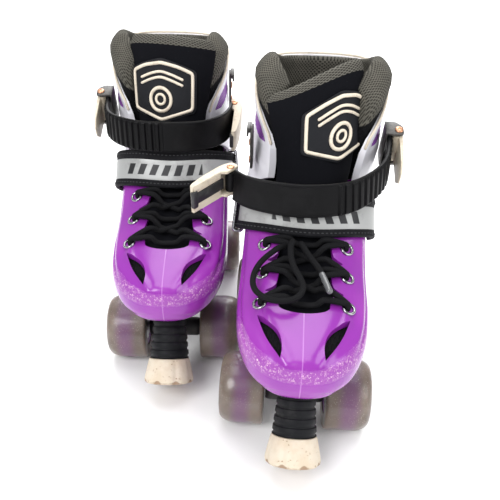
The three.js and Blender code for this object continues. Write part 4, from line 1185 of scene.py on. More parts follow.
def cuff_form(inset, columns, detail=False):
    rings = []
    for z in np.linspace(104, 248, 92):
        ring = []
        for k in range(columns):
            turn = 2 * math.pi * k / columns
            at = cuff_point(z, inset, turn)
            if detail:
                panel = inside_value((at.y, at.z), CUFF_PANEL)
                rib = 0.55 * hump(distance_to_line(at.y, at.z, [(7, 172), (20, 184), (55, 193), (110, 197)]),
                                  2.4)
                frame_line = 0.5 * hump(distance_to_line(at.y, at.z, [(26, 160), (50, 140), (90, 150)]), 3.0)
                at = cuff_point(z, inset + 1.1 * eased(panel, 0.1, 0.9) - rib - frame_line, turn)
            ring.append(tuple(at))
        rings.append(ring)
    return loft(rings)


def make_cuff(side):
    gate = [(20, -60), (20, 40), (-20, 40), (-20, -60)]
    reach = Vector((60, 0, 0))
    tools = [cuff_form(CUFF_WALL, 120), prism(gate, 90, 260),
             rod(CUFF_PIVOT - reach, CUFF_PIVOT + reach, PIVOT_HOLE_RADIUS, sides=32, edge=0.01)]
    body = bpy.data.objects.new("trimmed", cut(cuff_form(0, 220, True), [prism(CUFF_OUTLINE, -60, 60, "x")],
                                               "INTERSECT"))
    form = Form().add([tuple(v.co) for v in body.data.vertices],
                      [list(p.vertices) for p in body.data.polygons])
    bpy.data.objects.remove(body)
    mesh = cut(form, tools)
    largest_island(mesh)
    panel = [inside_value((v.co.y, v.co.z), CUFF_PANEL) for v in mesh.vertices]
    mesh.attributes.new("panel", "FLOAT", "POINT").data.foreach_set("value", panel)
    make(side, "cuff_moulding", mesh, CUFF, "cuff_body", ["cuff"], sharp=38)

    # The cream piping that finishes the edge of the black boot, just over the cuff's upper edge.
    for word, first, last in (("inner", -47, 90), ("outer", 90, 227)):
        line = []
        for turn in np.linspace(math.radians(first), math.radians(last), 60):
            flat = cuff_point(215, 0, turn)
            z = float(np.interp(flat.y, *zip(*CUFF_EDGE))) + 1.2
            line.append(tuple(cuff_point(z, CUFF_WALL * 0.35, turn)))
        make(side, f"piping_{word}", tube(smooth_path(line, 150), 1.0, 10), CREAM, "cuff_body")


def dome(start, direction, radius, height, recess=0.0, sides=32):
    """A round-headed rivet with a dished middle."""
    profile = [(-1.5, 0.01), (-1.5, radius * 0.6), (0, radius * 0.62), (0.05, radius),
               (height * 0.35, radius)]
    profile += [(height * (0.35 + 0.65 * math.sin(a)), radius * math.cos(a)) for a in (0.3, 0.6, 0.9, 1.15)]
    profile += [(height - recess, radius * 0.32), (height - recess, 0.01)]
    return lathe(profile, start, direction, sides)


def make_cuff_rivets(side):
    for word, sign in (("inner", 1), ("outer", -1)):
        out = Vector((sign, 0, 0))
        face = Vector((sign * 49.0, CUFF_PIVOT.y, CUFF_PIVOT.z))
        form = dome(face, out, 8.6, 2.6, 1.2)
        form.merge(rod(face - out * 11.5, face - out * 0.2, 5, sides=32))
        make(side, f"pivot_{word}", form, CHROME, "boot", [f"cuff_rivet_{word}"])


# ---- straps ----

INSTEP_PATH = [(-47.6, 4, 134), (-48.4, -9, 142), (-44.2, -23, 150.5), (-28, -35, 156), (0, -39.2, 156.3),
               (28, -35, 156.5), (43.2, -24, 152), (48.8, -11, 146), (49.4, 2, 140)]
ANKLE_PATH = {
    "right": [(-55.6, 26, 190), (-55.6, 11, 185), (-49.5, -13.5, 182.3), (-29, -33, 182), (0, -38.5, 182.3),
              (25, -33, 182.6), (39, -18.5, 183.2), (45, -1, 184.5), (46.4, 10, 186)],
    "left": [(-55.6, 26, 190), (-55.3, 11, 184.2), (-49.2, -15, 177.4), (-29, -36.8, 171.6),
             (0, -43.8, 169.2),
             (27, -41.6, 169.6), (43, -36, 170.5), (51.5, -29, 171.8)],
}


def instep_outward(at):
    return Vector((at[0] / 30, -1.1 * max(0, 1 - (at[0] / 52) ** 2), 0.62 - abs(at[0]) / 120))


def ankle_outward(at):
    return Vector((at[0] / 28, (at[1] - 42) / 60, 0.12 * (1 - abs(at[0]) / 46)))


def strap_frames(path, outward, count):
    even = smooth_path(path, count)
    for at, along in zip(even, tangents(even)):
        along = Vector(along)
        across = along.cross(outward(at)).normalized()
        yield Vector(at), along, across, across.cross(along).normalized()


def strap(path, outward, half, thickness, count, start=0.0, end=1.0, lift=0.0, relief=None, around=28,
          offset=0.0,
          **marks):
    """A band with rounded edges along a path. relief(distance, across) raises its outer face."""
    frames = list(strap_frames(path, outward, count))
    first, last = int(start * (count - 1)), int(end * (count - 1))
    rings, cloth = [], []
    values = {name: [] for name in marks}
    reach = 0.0
    for index in range(first, last + 1):
        at, _, across, out = frames[index]
        if index > first:
            reach += (at - frames[index - 1][0]).length
        close = min((index - first + 0.6) / 2.5, (last - index + 0.6) / 2.5, 1)
        ring = []
        for k in range(around):
            a = 2 * math.pi * k / around
            u = half * bulge(math.cos(a), 0.3) * (0.985 + 0.015 * close)
            v = thickness / 2 * bulge(math.sin(a), 0.55) * close ** 0.5
            if relief and math.sin(a) > 0.15:
                v += relief(reach, u)
            ring.append(tuple(at + across * (u + offset) + out * (v + lift)))
            cloth.append((reach * MM, u * MM, 0))
            for name, value in marks.items():
                values[name].append(value(index / (count - 1), u))
        rings.append(ring)
    return loft(rings, cloth=cloth, **values)


def stitch_nodes():
    """Stitches laid end to end along a curve."""
    tree = bpy.data.node_groups.new("Stitches", "GeometryNodeTree")
    tree.interface.new_socket(name="Geometry", in_out="INPUT", socket_type="NodeSocketGeometry")
    for label, value in (("Spacing", 3.2), ("Stitch Length", 2.2), ("Thread Radius", 0.35)):
        tree.interface.new_socket(name=label, in_out="INPUT",
                                  socket_type="NodeSocketFloat").default_value = value
    tree.interface.new_socket(name="Thread", in_out="INPUT", socket_type="NodeSocketMaterial")
    tree.interface.new_socket(name="Geometry", in_out="OUTPUT", socket_type="NodeSocketGeometry")
    given = tree.nodes.new("NodeGroupInput").outputs
    evenly = node(tree, "GeometryNodeResampleCurve", {"Curve": given["Geometry"], "Length": given["Spacing"]},
                  mode="LENGTH")
    stitch = node(tree, "GeometryNodeMeshUVSphere", {"Segments": 8, "Rings": 6, "Radius": 1.0})
    size = node(tree, "ShaderNodeCombineXYZ", {"X": times(tree, given["Stitch Length"], 0.5),
                                               "Y": given["Thread Radius"], "Z": given["Thread Radius"]})
    shaped = node(tree, "GeometryNodeTransform", {"Geometry": stitch.outputs["Mesh"],
                                                  "Scale": size.outputs[0]})
    heading = node(tree, "GeometryNodeInputTangent")
    turned = node(tree, "FunctionNodeAlignRotationToVector", {"Vector": heading.outputs[0]}, axis="X")
    placed = node(tree, "GeometryNodeInstanceOnPoints", {"Points": evenly.outputs[0],
                                                         "Instance": shaped.outputs[0],
                                                         "Rotation": turned.outputs[0]})
    real = node(tree, "GeometryNodeRealizeInstances", {"Geometry": placed.outputs[0]})
    finished = node(tree, "GeometryNodeSetMaterial", {"Geometry": real.outputs[0],
                                                      "Material": given["Thread"]})
    tree.links.new(finished.outputs[0], tree.nodes.new("NodeGroupOutput").inputs[0])
    return tree


def eyelet_nodes():
    """Rolled rings set on points, each turned to the surface that it sits on."""
    tree = bpy.data.node_groups.new("Eyelets", "GeometryNodeTree")
    tree.interface.new_socket(name="Geometry", in_out="INPUT", socket_type="NodeSocketGeometry")
    for label, value in (("Ring Radius", 3.3), ("Wire Radius", 0.85)):
        tree.interface.new_socket(name=label, in_out="INPUT",
                                  socket_type="NodeSocketFloat").default_value = value
    tree.interface.new_socket(name="Metal", in_out="INPUT", socket_type="NodeSocketMaterial")
    tree.interface.new_socket(name="Geometry", in_out="OUTPUT", socket_type="NodeSocketGeometry")
    given = tree.nodes.new("NodeGroupInput").outputs
    ring = node(tree, "GeometryNodeCurvePrimitiveCircle", {"Resolution": 32, "Radius": given["Ring Radius"]})
    wire = node(tree, "GeometryNodeCurvePrimitiveCircle", {"Resolution": 12, "Radius": given["Wire Radius"]})
    rolled = node(tree, "GeometryNodeCurveToMesh", {"Curve": ring.outputs[0],
                                                    "Profile Curve": wire.outputs[0]})
    facing = node(tree, "GeometryNodeInputNamedAttribute", {"Name": "facing"}, data_type="FLOAT_VECTOR")
    turned = node(tree, "FunctionNodeAlignRotationToVector", {"Vector": facing.outputs[0]}, axis="Z")
    placed = node(tree, "GeometryNodeInstanceOnPoints", {"Points": given["Geometry"],
                                                         "Instance": rolled.outputs[0],
                                                         "Rotation": turned.outputs[0]})
    real = node(tree, "GeometryNodeRealizeInstances", {"Geometry": placed.outputs[0]})
    finished = node(tree, "GeometryNodeSetMaterial", {"Geometry": real.outputs[0],
                                                      "Material": given["Metal"]})
    tree.links.new(finished.outputs[0], tree.nodes.new("NodeGroupOutput").inputs[0])
    return tree


STITCHES = stitch_nodes()
EYELETS = eyelet_nodes()


def grown(source, tree, **inputs):
    """The mesh that a node tree grows from a curve or a set of points."""
    seed = bpy.data.objects.new("seed", source)
    bpy.context.collection.objects.link(seed)
    modifier = seed.modifiers.new("grow", "NODES")
    modifier.node_group = tree
    for item in tree.interface.items_tree:
        if item.item_type == "SOCKET" and item.in_out == "INPUT" and item.name.replace(" ", "_") in inputs:
            modifier[item.identifier] = inputs[item.name.replace(" ", "_")]
    bpy.context.view_layer.update()
    mesh = bpy.data.meshes.new_from_object(seed.evaluated_get(bpy.context.evaluated_depsgraph_get()))
    bpy.data.objects.remove(seed)
    return mesh


def curve_through(paths):
    curve = bpy.data.curves.new("line", "CURVE")
    curve.dimensions = "3D"
    for path in paths:
        spline = curve.splines.new("POLY")
        spline.points.add(len(path) - 1)
        for slot, point in zip(spline.points, path):
            slot.co = (*point, 1)
    return curve


def make_instep_strap(side):
    """Webbing with a bound edge, a silver band and a row of stitches along each side."""
    def welt(distance, across):
        return 0.75 * hump(abs(across) - 12.6, 1.3) + 0.25 * hump(abs(across) - 9.6, 0.7)

    band = strap(INSTEP_PATH, instep_outward, INSTEP_STRAP_HALF, STRAP_THICKNESS, 240, lift=0.2, relief=welt,
                 around=72, offset=0.2)
    make(side, "instep_webbing", band, WEBBING, "boot", ["instep_strap"])
    silver = strap(INSTEP_PATH, instep_outward, SILVER_HALF, 0.5, 240, start=0.10, end=0.865, lift=1.45,
                   around=28,
                   offset=0.9, motif=lambda share, u: float(smoothstep(share, 0.28, 0.285)
                                                           * (1 - smoothstep(share, 0.66, 0.665))))
    make(side, "silver_band", silver, SILVER, "boot")
    rows = []
    for across_at in (-10.9, 11.3):
        rows.append([at + across * across_at + out * 2.0
                     for at, _, across, out in list(strap_frames(INSTEP_PATH, instep_outward, 120))[4:-4]])
    make(side, "strap_stitches", grown(curve_through(rows), STITCHES, Spacing=3.0, Stitch_Length=2.0,
                                       Thread_Radius=0.38, Thread=THREAD), THREAD, "boot")


def make_strap_ring(side):
    frames = list(strap_frames(INSTEP_PATH, instep_outward, 101))
    at, along, across, out = frames[90]
    tall, deep, corner = 16.0, 3.0, 1.6
    line = []
    for u_sign, v_sign, start in ((1, 1, 0), (-1, 1, 90), (-1, -1, 180), (1, -1, 270)):
        for a in np.linspace(0, math.pi / 2, 6):
            turn = math.radians(start) + a
            u = u_sign * (tall - corner) + corner * math.cos(turn)
            v = v_sign * (deep - corner) + corner * math.sin(turn)
            line.append(tuple(at + across * u + out * v))
    path = smooth_path(line, 120, closed=True)
    rings = []
    along_path = tangents(np.vstack([path[-1:], path, path[:1]]))[1:-1]
    for point, direction in zip(path, along_path):
        side_way = np.array(along)
        up = np.cross(direction, side_way)
        rings.append([tuple(point + 1.35 * (math.cos(t) * side_way + math.sin(t) * up / np.linalg.norm(up)))
                      for t in np.linspace(0, 2 * math.pi, 12, endpoint=False)])
    make(side, "wire_ring", loft(rings, closed=True), CHROME, "boot", ["strap_ring"])



def make_ankle_strap(side):
    """Rubbery strap, ribbed on its outer half, with a knuckle for the cam lever at its inner end."""
    path = ANKLE_PATH[side]
    length = float(np.linalg.norm(np.diff(smooth_path(path, 200), axis=0), axis=1).sum())
    ribbed = 0.53 * length

    def ribs(distance, across):
        tooth = (distance % RIB_PITCH) / RIB_PITCH
        rise = float(smoothstep(tooth, 0.0, 0.16) * (1 - smoothstep(tooth, 0.52, 0.72)))
        fade = float(1 - smoothstep(distance, ribbed, ribbed + 1.5))
        edge = float(1 - smoothstep(abs(across), 9.8, 10.8))
        plain = eased(distance, ribbed, ribbed + 5)
        smooth_part = 0.5 * plain * hump((abs(across) - 10.4) / 0.9, 1)
        return (1.5 * rise * edge + 0.5 * (1 - edge)) * fade + smooth_part

    form = strap(path, ankle_outward, ANKLE_STRAP_HALF, STRAP_THICKNESS, 460, relief=ribs, around=56)
    cam = buckle_matrix(side, "cam", 0)
    half = 10 - 2.2 - 0.35
    knuckle = lathe(rounded([(0, 2.35), (0, 3.8), (2 * half, 3.8), (2 * half, 2.35)], 0.5), (0, 0, -half),
                    (0, 0, 1), 32)
    form.merge(knuckle.moved(cam))
    make(side, "ankle_strap_band", form, STRAP_RUBBER, "cuff_body", ["ankle_strap"], sharp=30)


# ---- buckles ----

# Buckles are drawn in a frame of their own: origin at the pin's middle, -Y along the lever, +X off the boot.
BUCKLES = {
    ("right", "ratchet"): ((-61.5, 20, 188), 20, -1, 0), ("left", "ratchet"): ((-61.5, 20, 188), 22, -1, 0),
    ("right", "cam"): ((48.5, 14, 187), 22, 1, -4), ("left", "cam"): ((54.5, -23.5, 172.8), 8, 1, 36),
    ("right", "catch"): ((44.6, 44, 200), 22, 1, 0), ("left", "catch"): ((42.5, 8, 187), 10, 1, 0),
}


def buckle_matrix(side, kind, swing=None):
    pin, slope, out, rest = BUCKLES[(side, kind)]
    matrix = Matrix.Translation(pin) @ Matrix.Rotation(math.radians(slope), 4, "X")
    if out < 0:
        matrix = matrix @ Matrix.Diagonal((-1, 1, 1, 1))
    return matrix @ Matrix.Rotation(math.radians(rest if swing is None else swing), 4, "Z")


def corner_rounded(points, size=1.0):
    ring = [points[-1], *points, points[0]]
    out = []
    for before, corner, after in zip(ring, ring[1:], ring[2:]):
        a, b, c = (np.array(p, float) for p in (before, corner, after))
        reach = min(size, np.linalg.norm(a - b) / 2.1, np.linalg.norm(c - b) / 2.1)
        first = b + (a - b) / np.linalg.norm(a - b) * reach
        last = b + (c - b) / np.linalg.norm(c - b) * reach
        out += [tuple((1 - t) ** 2 * first + 2 * t * (1 - t) * b + t * t * last) for t in (0, 0.3, 0.6, 1)]
    return out


def make_ratchet(side):
    """The outer buckle: dark bracket with two ears and a pin, and the cream lever that lifts off the ribs."""
    matrix = buckle_matrix(side, "ratchet")
    half = 11.5 + 1.05
    ear_outline = corner_rounded([(-9.5, -4.5), (-9.5, 9), (-2, 9), (3.4, 4), (3.4, -4.5)], 2.2)
    form = slab(corner_rounded([(-9.5, -5), (-8.2, -5), (-8.2, 9), (-9.5, 9)], 0.4), -half - 2, half + 2,
                "z", 0.3)
    for sign in (1, -1):
        low, high = sorted((sign * half, sign * (half + 2)))
        form.merge(slab(ear_outline, low, high, "z", 0.5))
    form.merge(rod((0, 0, -half - 1.5), (0, 0, half + 1.5), 2, sides=24))
    make(side, "ratchet_bracket", form.moved(matrix), BRACKET, "cuff_body", ["ratchet_base"])
    heads = dome((0, 0, half + 2), (0, 0, 1), 3.0, 1.3, 0.5, 24)
    heads.merge(dome((0, 0, -half - 2), (0, 0, -1), 3.0, 1.3, 0.5, 24))
    make(side, "ratchet_rivets", heads.moved(buckle_matrix(side, "ratchet")), COPPER, "cuff_body")

    # The lever: a curved plate, ribbed along its back, ending in a flicked tip.
    wide, tip = 11.1, -34.4
    rings = []
    rows = 46
    for i in range(rows):
        share = i / (rows - 1)
        y = 3.4 + (tip - 3.4) * share
        crown = 4.0 - 3.0 * share ** 1.6 + 1.0 * hump((share - 1.0) / 0.16, 1)
        wall = 2.7 - 1.0 * share
        spread = wide * (1 - 0.10 * share) * (1 - 0.55 * eased(share, 0.80, 1.0))
        close = min((i + 0.4) / 2.5, (rows - 1 - i + 0.4) / 2.5, 1) ** 0.5
        ring = []
        for k in range(40):
            a = 2 * math.pi * k / 40
            z = spread * bulge(math.cos(a), 0.35) * (0.97 + 0.03 * close)
            skirt = 1.7 * abs(z / max(spread, 0.1)) ** 6 * (1 - share)
            grip = 0.45 * (hump(y + 15, 1.0) + hump(y + 19, 1.0) + hump(y + 23, 1.0)) if math.sin(a) > 0.3 else 0
            x = crown - wall / 2 + wall / 2 * bulge(math.sin(a), 0.6) * close + grip
            if math.sin(a) < 0:
                x -= skirt
            ring.append((x, y, z))
        rings.append(ring)
    lever = loft(rings)
    lever.merge(lathe(rounded([(0, 2.35), (0, 3.7), (22.2, 3.7), (22.2, 2.35)], 0.5), (0, 0, -wide),
                      (0, 0, 1), 32))
    make(side, "ratchet_arm_moulding", lever.moved(buckle_matrix(side, "ratchet")), BUCKLE, "ratchet_arm",
         ["ratchet_lever"])


def make_cam(side):
    """The inner buckle's lever: a cream channel with a black insert, on a pin through both walls."""
    half, wall, length = 10, 2.2, 40
    tip = -length + 4
    side_outline = corner_rounded([(-2.6, 5.5), (3.5, 6.2), (5.8, 2), (7, -4), (6.6, -14),
                                   (6, -length * 0.6), (4.6, tip + 3),
                                   (3.2, tip), (0.6, tip), (0.6, -8), (-2.6, -6.5)], 1.6)
    matrix = buckle_matrix(side, "cam")
    form = Form()
    for sign in (1, -1):
        low, high = sorted((sign * (half - wall), sign * half))
        form.merge(slab(side_outline, low, high, "z", 0.55))
    back = corner_rounded([(3.0, 5.4), (5.0, 5.2), (7, -4), (6.6, -14), (6, -length * 0.6), (4.6, tip + 3),
                           (3.0, tip),
                           (0.8, tip), (1.4, tip + 3), (3.8, -length * 0.6), (4.8, -14), (4.9, -4)], 0.8)
    form.merge(slab(back, -half + 1, half - 1, "z", 0.4))
    lip = corner_rounded([(0.9, -8.5), (3.4, -9), (3.0, -length * 0.6), (1.4, tip + 1.5), (0.3, tip + 1.2)],
                         0.7)
    for sign in (1, -1):
        low, high = sorted((sign * (half - wall - 3.6), sign * (half - 1)))
        form.merge(slab(lip, low, high, "z", 0.6))
    make(side, "cam_arm_moulding", form.moved(matrix), BUCKLE, "cam_arm", ["cam_lever"])
    insert = corner_rounded([(0.2, -6.5), (4.5, -7), (3.6, -length * 0.6), (1.6, tip + 2.2),
                             (0.0, tip + 2.0)], 0.8)
    inner = slab(insert, -half + wall + 3.8, half - wall - 3.8, "z", 0.5)
    cap = slab(corner_rounded([(-0.8, tip + 4), (2.2, tip + 3.4), (2.4, tip - 0.9), (-0.8, tip - 0.7)], 1.2),
               -half * 0.62, half * 0.62, "z", 0.9)
    make(side, "cam_insert", inner.merge(cap).moved(buckle_matrix(side, "cam")), BLACK_PLASTIC, "cam_arm")
    pin = rod((0, 0, -half + 0.3), (0, 0, half - 0.3), 2, sides=24)
    pin.merge(dome((0, 0, half - 0.1), (0, 0, 1), 2.7, 1.1, 0.45,
                   24)).merge(dome((0, 0, -half + 0.1), (0, 0, -1), 2.7,
                                                                              1.1, 0.45, 24))
    make(side, "cam_rivet", pin.moved(buckle_matrix(side, "cam")), COPPER, "cam_arm")


def make_catch(side):
    """The strip on the cuff that the cam lever's loop hooks on to."""
    matrix = buckle_matrix(side, "catch")
    plate = corner_rounded([(-6, -16), (6, -16), (6, 12), (3.5, 16), (-3.5, 16), (-6, 12)], 2)
    form = slab(plate, -1, 1, "x", 0.35)
    form.merge(slab(corner_rounded([(0.4, 12.3), (0.4, 16), (3.4, 16), (3.6, 9.4), (2.3, 9.4), (2.0, 12.3)],
                                   0.6), -5, 5,
                    "y", 0.4))
    make(side, "catch_bracket", form.moved(matrix), BRACKET, "cuff_body", ["catch_strip"])
    again = buckle_matrix(side, "catch")
    heads = dome((1, 0, -11), (1, 0, 0), 2.7, 1.2, 0.4, 24).merge(dome((1, 0, 3), (1, 0, 0), 2.7, 1.2, 0.4, 24))
    make(side, "catch_rivets", heads.moved(again), COPPER, "cuff_body")


# ---- wheels, trucks and base plate ----

AXLE_HEIGHT = WHEEL_DIAMETER / 2
WHEEL_CENTRE = (TRACK - WHEEL_WIDTH) / 2
HANGER_HALF = TRACK / 2 - WHEEL_WIDTH - 0.7
STEER = math.radians(45)
ENDS = {"front": -1, "rear": 1}


def steering(end):
    start = Vector((0, end * WHEELBASE / 2, AXLE_HEIGHT))
    return start, Vector((0, -end * math.cos(STEER), math.sin(STEER)))


def wheel_parts(centre, out):
    """Tyre, core and bearing of one wheel, from its inner face outwards along +X or -X."""
    radius, half = WHEEL_DIAMETER / 2, WHEEL_WIDTH / 2
    start = (centre[0] - out * half, centre[1], centre[2])
    deep = WHEEL_WIDTH
    tyre = [(0.6, 16.2), (0, 17.5), (0, radius - 2.1), (0.25, radius - 1.0), (1.0, radius - 0.25),
            (2.1, radius)]
    tyre += [(x, radius) for x in np.linspace(4, deep - 12.5, 10)]
    tyre += [(deep - 12.5 + 12.0 * math.sin(a), radius - 6.2 * (1 - math.cos(a)))
             for a in np.linspace(0.12, math.pi / 2 * 0.92, 12)]
    tyre += [(deep - 0.25, 19.4), (deep - 0.6, 17.6), (deep - 1.6, 16.4), (deep - 2.6, 15.9)]
    core = [(1.4, 11.3), (1.2, 15.5), (2.2, 16.1), (deep - 3.4, 15.9), (deep - 3.2, 13.6), (deep - 5.3, 12.9),
            (deep - 5.4, 11.3), (1.4, 11.3)]
    bearing = [(1.9, 4.35), (1.6, 5.4), (2.0, 6.2), (2.1, 9.2), (1.7, 9.8), (1.7, 11.2), (deep - 5.6, 11.2),
               (deep - 5.7, 9.8), (deep - 6.1, 9.2), (deep - 6.1, 6.2), (deep - 5.7, 5.4),
               (deep - 5.9, 4.35), (1.9, 4.35)]
    return start, tyre, core, bearing


def ring_about(profile, start, direction, sides, mark=None):
    """A solid of revolution whose outline doesn't reach the axis."""
    start, direction = Vector(start), Vector(direction).normalized()
    first = direction.orthogonal().normalized()
    second = direction.cross(first)
    rings, values = [], []
    for distance, radius in profile:
        rings.append([tuple(start + direction * distance + (first * math.cos(a) + second * math.sin(a)) * radius)
                      for a in np.linspace(0, 2 * math.pi, sides, endpoint=False)])
        values += [mark(distance) if mark else 0.0] * sides
    return loft(rings, closed=True, **({"across": values} if mark else {}))


def make_wheels(side):
    for end_name, end in ENDS.items():
        for place, sign in (("inner", 1), ("outer", -1)):
            centre = (sign * WHEEL_CENTRE, end * WHEELBASE / 2, AXLE_HEIGHT)
            start, tyre, core, bearing = wheel_parts(centre, sign)
            direction = (sign, 0, 0)
            name = f"{end_name}_{place}"
            body = f"{name}_roller"
            form = ring_about(tyre + tyre[:1], start, direction, 128, lambda d: 2 * d / WHEEL_WIDTH - 1)
            make(side, f"{name}_tyre", form, WHEEL, body, [f"{name}_wheel"], sharp=50)
            make(side, f"{name}_core", ring_about(core, start, direction, 96), CORE, body, sharp=40)
            make(side, f"{name}_bearing", ring_about(bearing, start, direction, 64), STEEL, body,
                 sharp=30)


def make_trucks(side):
    for end_name, end in ENDS.items():
        start, along = steering(end)
        point = lambda t: start + along * t
        reach = Vector((HANGER_HALF, 0, 0))
        hanger = lathe(rounded([(0, 0.01), (0, 7.2), (3, 8), (2 * HANGER_HALF - 3, 8), (2 * HANGER_HALF, 7.2),
                                (2 * HANGER_HALF, 0.01)], 0.6), start - reach, (1, 0, 0), 48)
        web = rod(point(0), point(15.6), 7.5, 11, 48, 0.5)
        seat = lathe(rounded([(0, 0.01), (0, 12.2), (0.8, 13), (4.65, 13), (4.65, 0.01)], 0.5), point(14),
                     along, 48)
        truck = cut(hanger, [web, seat], "UNION")
        fins = []
        for sign in (1, -1):
            fins.append(rod(point(12), start + Vector((sign * HANGER_HALF * 0.8, 0, 1)), 5, 4, 24, 0.4))
        solid = bpy.data.objects.new("hanger", truck)
        whole = Form().add([tuple(v.co) for v in truck.vertices], [list(p.vertices) for p in truck.polygons])
        bpy.data.objects.remove(solid)
        truck = cut(whole, fins, "UNION")
        make(side, f"{end_name}_hanger", truck, CHASSIS, f"{end_name}_steering",
             [f"{end_name}_truck"],
             sharp=32)

        # The axle shows only its thread and nut in each wheel's recess.
        axle = rod(start - Vector((TRACK / 2 + 0.5, 0, 0)), start + Vector((TRACK / 2 + 0.5, 0, 0)), 4,
                   sides=32)
        for sign in (1, -1):
            at = start + Vector((sign * (TRACK / 2 - 4.65), 0, 0))
            axle.merge(rod(at, at + Vector((sign * 5.0, 0, 0)), 6.7, sides=6, edge=0.35))
        make(side, f"{end_name}_spindle", axle, STEEL, f"{end_name}_steering", [f"{end_name}_axle"],
             sharp=25)

        profile = [(0, 5), (0, 10.6), (0.5, 11.3), (2.4, 12), (9.6, 12), (11.5, 11.3), (12, 10.6), (12, 5),
                   (0, 5)]
        cushion = ring_about(profile, point(19), along, 48)
        make(side, f"{end_name}_bushing", cushion, CUSHION_RUBBER, "boot", [f"{end_name}_cushion"])


def plate_outline(half, front, back, steps=12):
    opening, closing = np.linspace(0.05, math.pi / 2, steps), np.linspace(math.pi / 2, 0.05, steps)
    right = [(half * math.sin(a), front + half * (1 - math.cos(a))) for a in opening]
    right += [(half * math.sin(a), back - half * (1 - math.cos(a))) for a in closing]
    return right + [(-x, y) for x, y in reversed(right)]


STEM_SLOPE = math.radians(34.5)
STEM_AXIS = Vector((0, -math.sin(STEM_SLOPE), -math.cos(STEM_SLOPE)))
STEM_START = Vector((0, -WHEELBASE / 2 - 31.7, SOLE_HEIGHT - 15.8))


def make_base_plate(side):
    top = SOLE_HEIGHT - 0.35
    low = top - 7
    plate = slab(plate_outline(29, boot_y(0.075), boot_y(0.93)), low, top, "z", 0.9)
    tools = [slab(plate_outline(23.5, boot_y(0.105), boot_y(0.90)), low - 3, low + 2.2, "z", 0.3)]
    shell_form = cut(plate, tools)
    whole = Form().add([tuple(v.co) for v in shell_form.vertices],
                       [list(p.vertices) for p in shell_form.polygons])
    posts = []
    for end in ENDS.values():
        start, along = steering(end)
        point = lambda t: start + along * t
        reach = (low + 2 - AXLE_HEIGHT) / along.z
        headroom = (top - AXLE_HEIGHT - 14 * math.cos(STEER)) / along.z - 0.5
        posts.append(rod(point(31.35), point(min(reach + 6, headroom)), 14, sides=48, edge=0.6))
        posts.append(rod(point(10), point(35), 4.4, sides=24, edge=0.3))
    boss = STEM_START - STEM_AXIS * 0.35
    posts.append(rod(boss, boss - STEM_AXIS * ((top - boss.z - 7.5) / -STEM_AXIS.z), 12.2, sides=40,
                     edge=0.4))
    for x in (-12, 0, 12):
        posts.append(slab([(x - 1.1, boot_y(0.3)), (x + 1.1, boot_y(0.3)), (x + 1.1, boot_y(0.7)),
                           (x - 1.1, boot_y(0.7))], low, low + 3, "z", 0.2))
    make(side, "sole_plate", cut(whole, posts, "UNION"), CHASSIS, "boot", ["base_plate"], sharp=32)


def make_toe_stop(side):
    profile = [(0, 0.01), (0, 12.2), (0.4, 12.7)]
    for ring in range(5):
        grow = lambda share: 12.7 + 2.8 * share
        base = 6.0 * ring
        for part, dip in ((0.10, 0), (0.42, 0), (0.56, 0.15), (0.68, 0.85), (0.80, 1.0), (0.92, 0.85),
                          (1.0, 0.1)):
            profile.append((base + 6.0 * part * (0.995 if ring == 4 else 1), grow((ring + part) / 5) - dip))
    profile.append((30, 0.01))
    make(side, "stop_stem", lathe(profile, STEM_START, STEM_AXIS, 64), STEM_RUBBER, "boot",
         ["toe_stop_stem"])

    # The pad is a fluted block, and its edge is worn round at the floor.
    start = STEM_START + STEM_AXIS * 30.35
    first = Vector((1, 0, 0))
    second = STEM_AXIS.cross(first)
    rings, rims = [], []
    rows = [(0, 14.2), (0.3, 15.3), (1.6, 16.0), (3.5, 16.5), (7, 17.3), (11, 18.2), (14.5, 18.9),
            (16.6, 19.2),
            (18.2, 18.9), (19.1, 18.1), (19.5, 16.8)]
    for distance, radius in rows:
        ring = []
        for k in range(144):
            a = 2 * math.pi * k / 144
            flute = hump((((a * 8 / (2 * math.pi)) % 1) - 0.5) / 0.16, 1)
            depth = 0.6 * flute * eased(distance, 0.5, 3) * (1 - 0.35 * eased(distance, 17, 19.5))
            r = radius - depth
            ring.append(tuple(start + STEM_AXIS * distance + (first * math.cos(a) + second * math.sin(a)) * r))
            rims.append(eased(distance, 12.5, 18.5) * (0.85 + 0.15 * flute) + 0.22 * flute
                        * eased(distance, 4, 14))
        rings.append(ring)
    make(side, "stop_block", loft(rings, rim=rims), PAD, "boot", ["toe_stop_pad"])


# ---- laces ----

TAB_REACH = 18.5
LACE_LOOP = [
    (15, -54.5, 140.2), (18.5, -58.5, 141.2), (22, -61.5, 139.8), (26.5, -65, 137.2), (30.5, -69, 134),
             (33, -74, 131),
    (33.9, -80, 128.6), (32.9, -86.5, 127.4), (30, -92.5, 127), (25, -97.2, 126.8), (19, -99.8, 126.8),
    (12.5, -100.2, 127.2), (6.5, -98.2, 128), (2.6, -93.8, 129.4), (1.6, -88.2, 131.2), (3.4, -82.8, 133.4),
    (6.4, -77.6, 135.8), (9, -72, 138.6), (10.4, -66, 141.6), (10.4, -60.6, 144), (9.4, -56.2, 145.4)]
LACE_END = [
    (3.6, -54, 142.6), (2.8, -56, 142.6), (1.7, -58.2, 142.2), (0.5, -60.4, 141.4), (-0.9, -62.6, 140.4),
    (-2.4, -64.8, 139.4), (-4, -67, 138.4), (-5.7, -69.3, 137.4), (-7.3, -71.7, 136.5), (-8.7, -74.2, 135.6),
    (-9.9, -76.9, 134.8), (-11, -79.7, 134), (-12, -82.6, 133.2), (-13, -85.6, 132.4), (-14, -88.6, 131.6),
    (-14.9, -91.6, 130.8)]


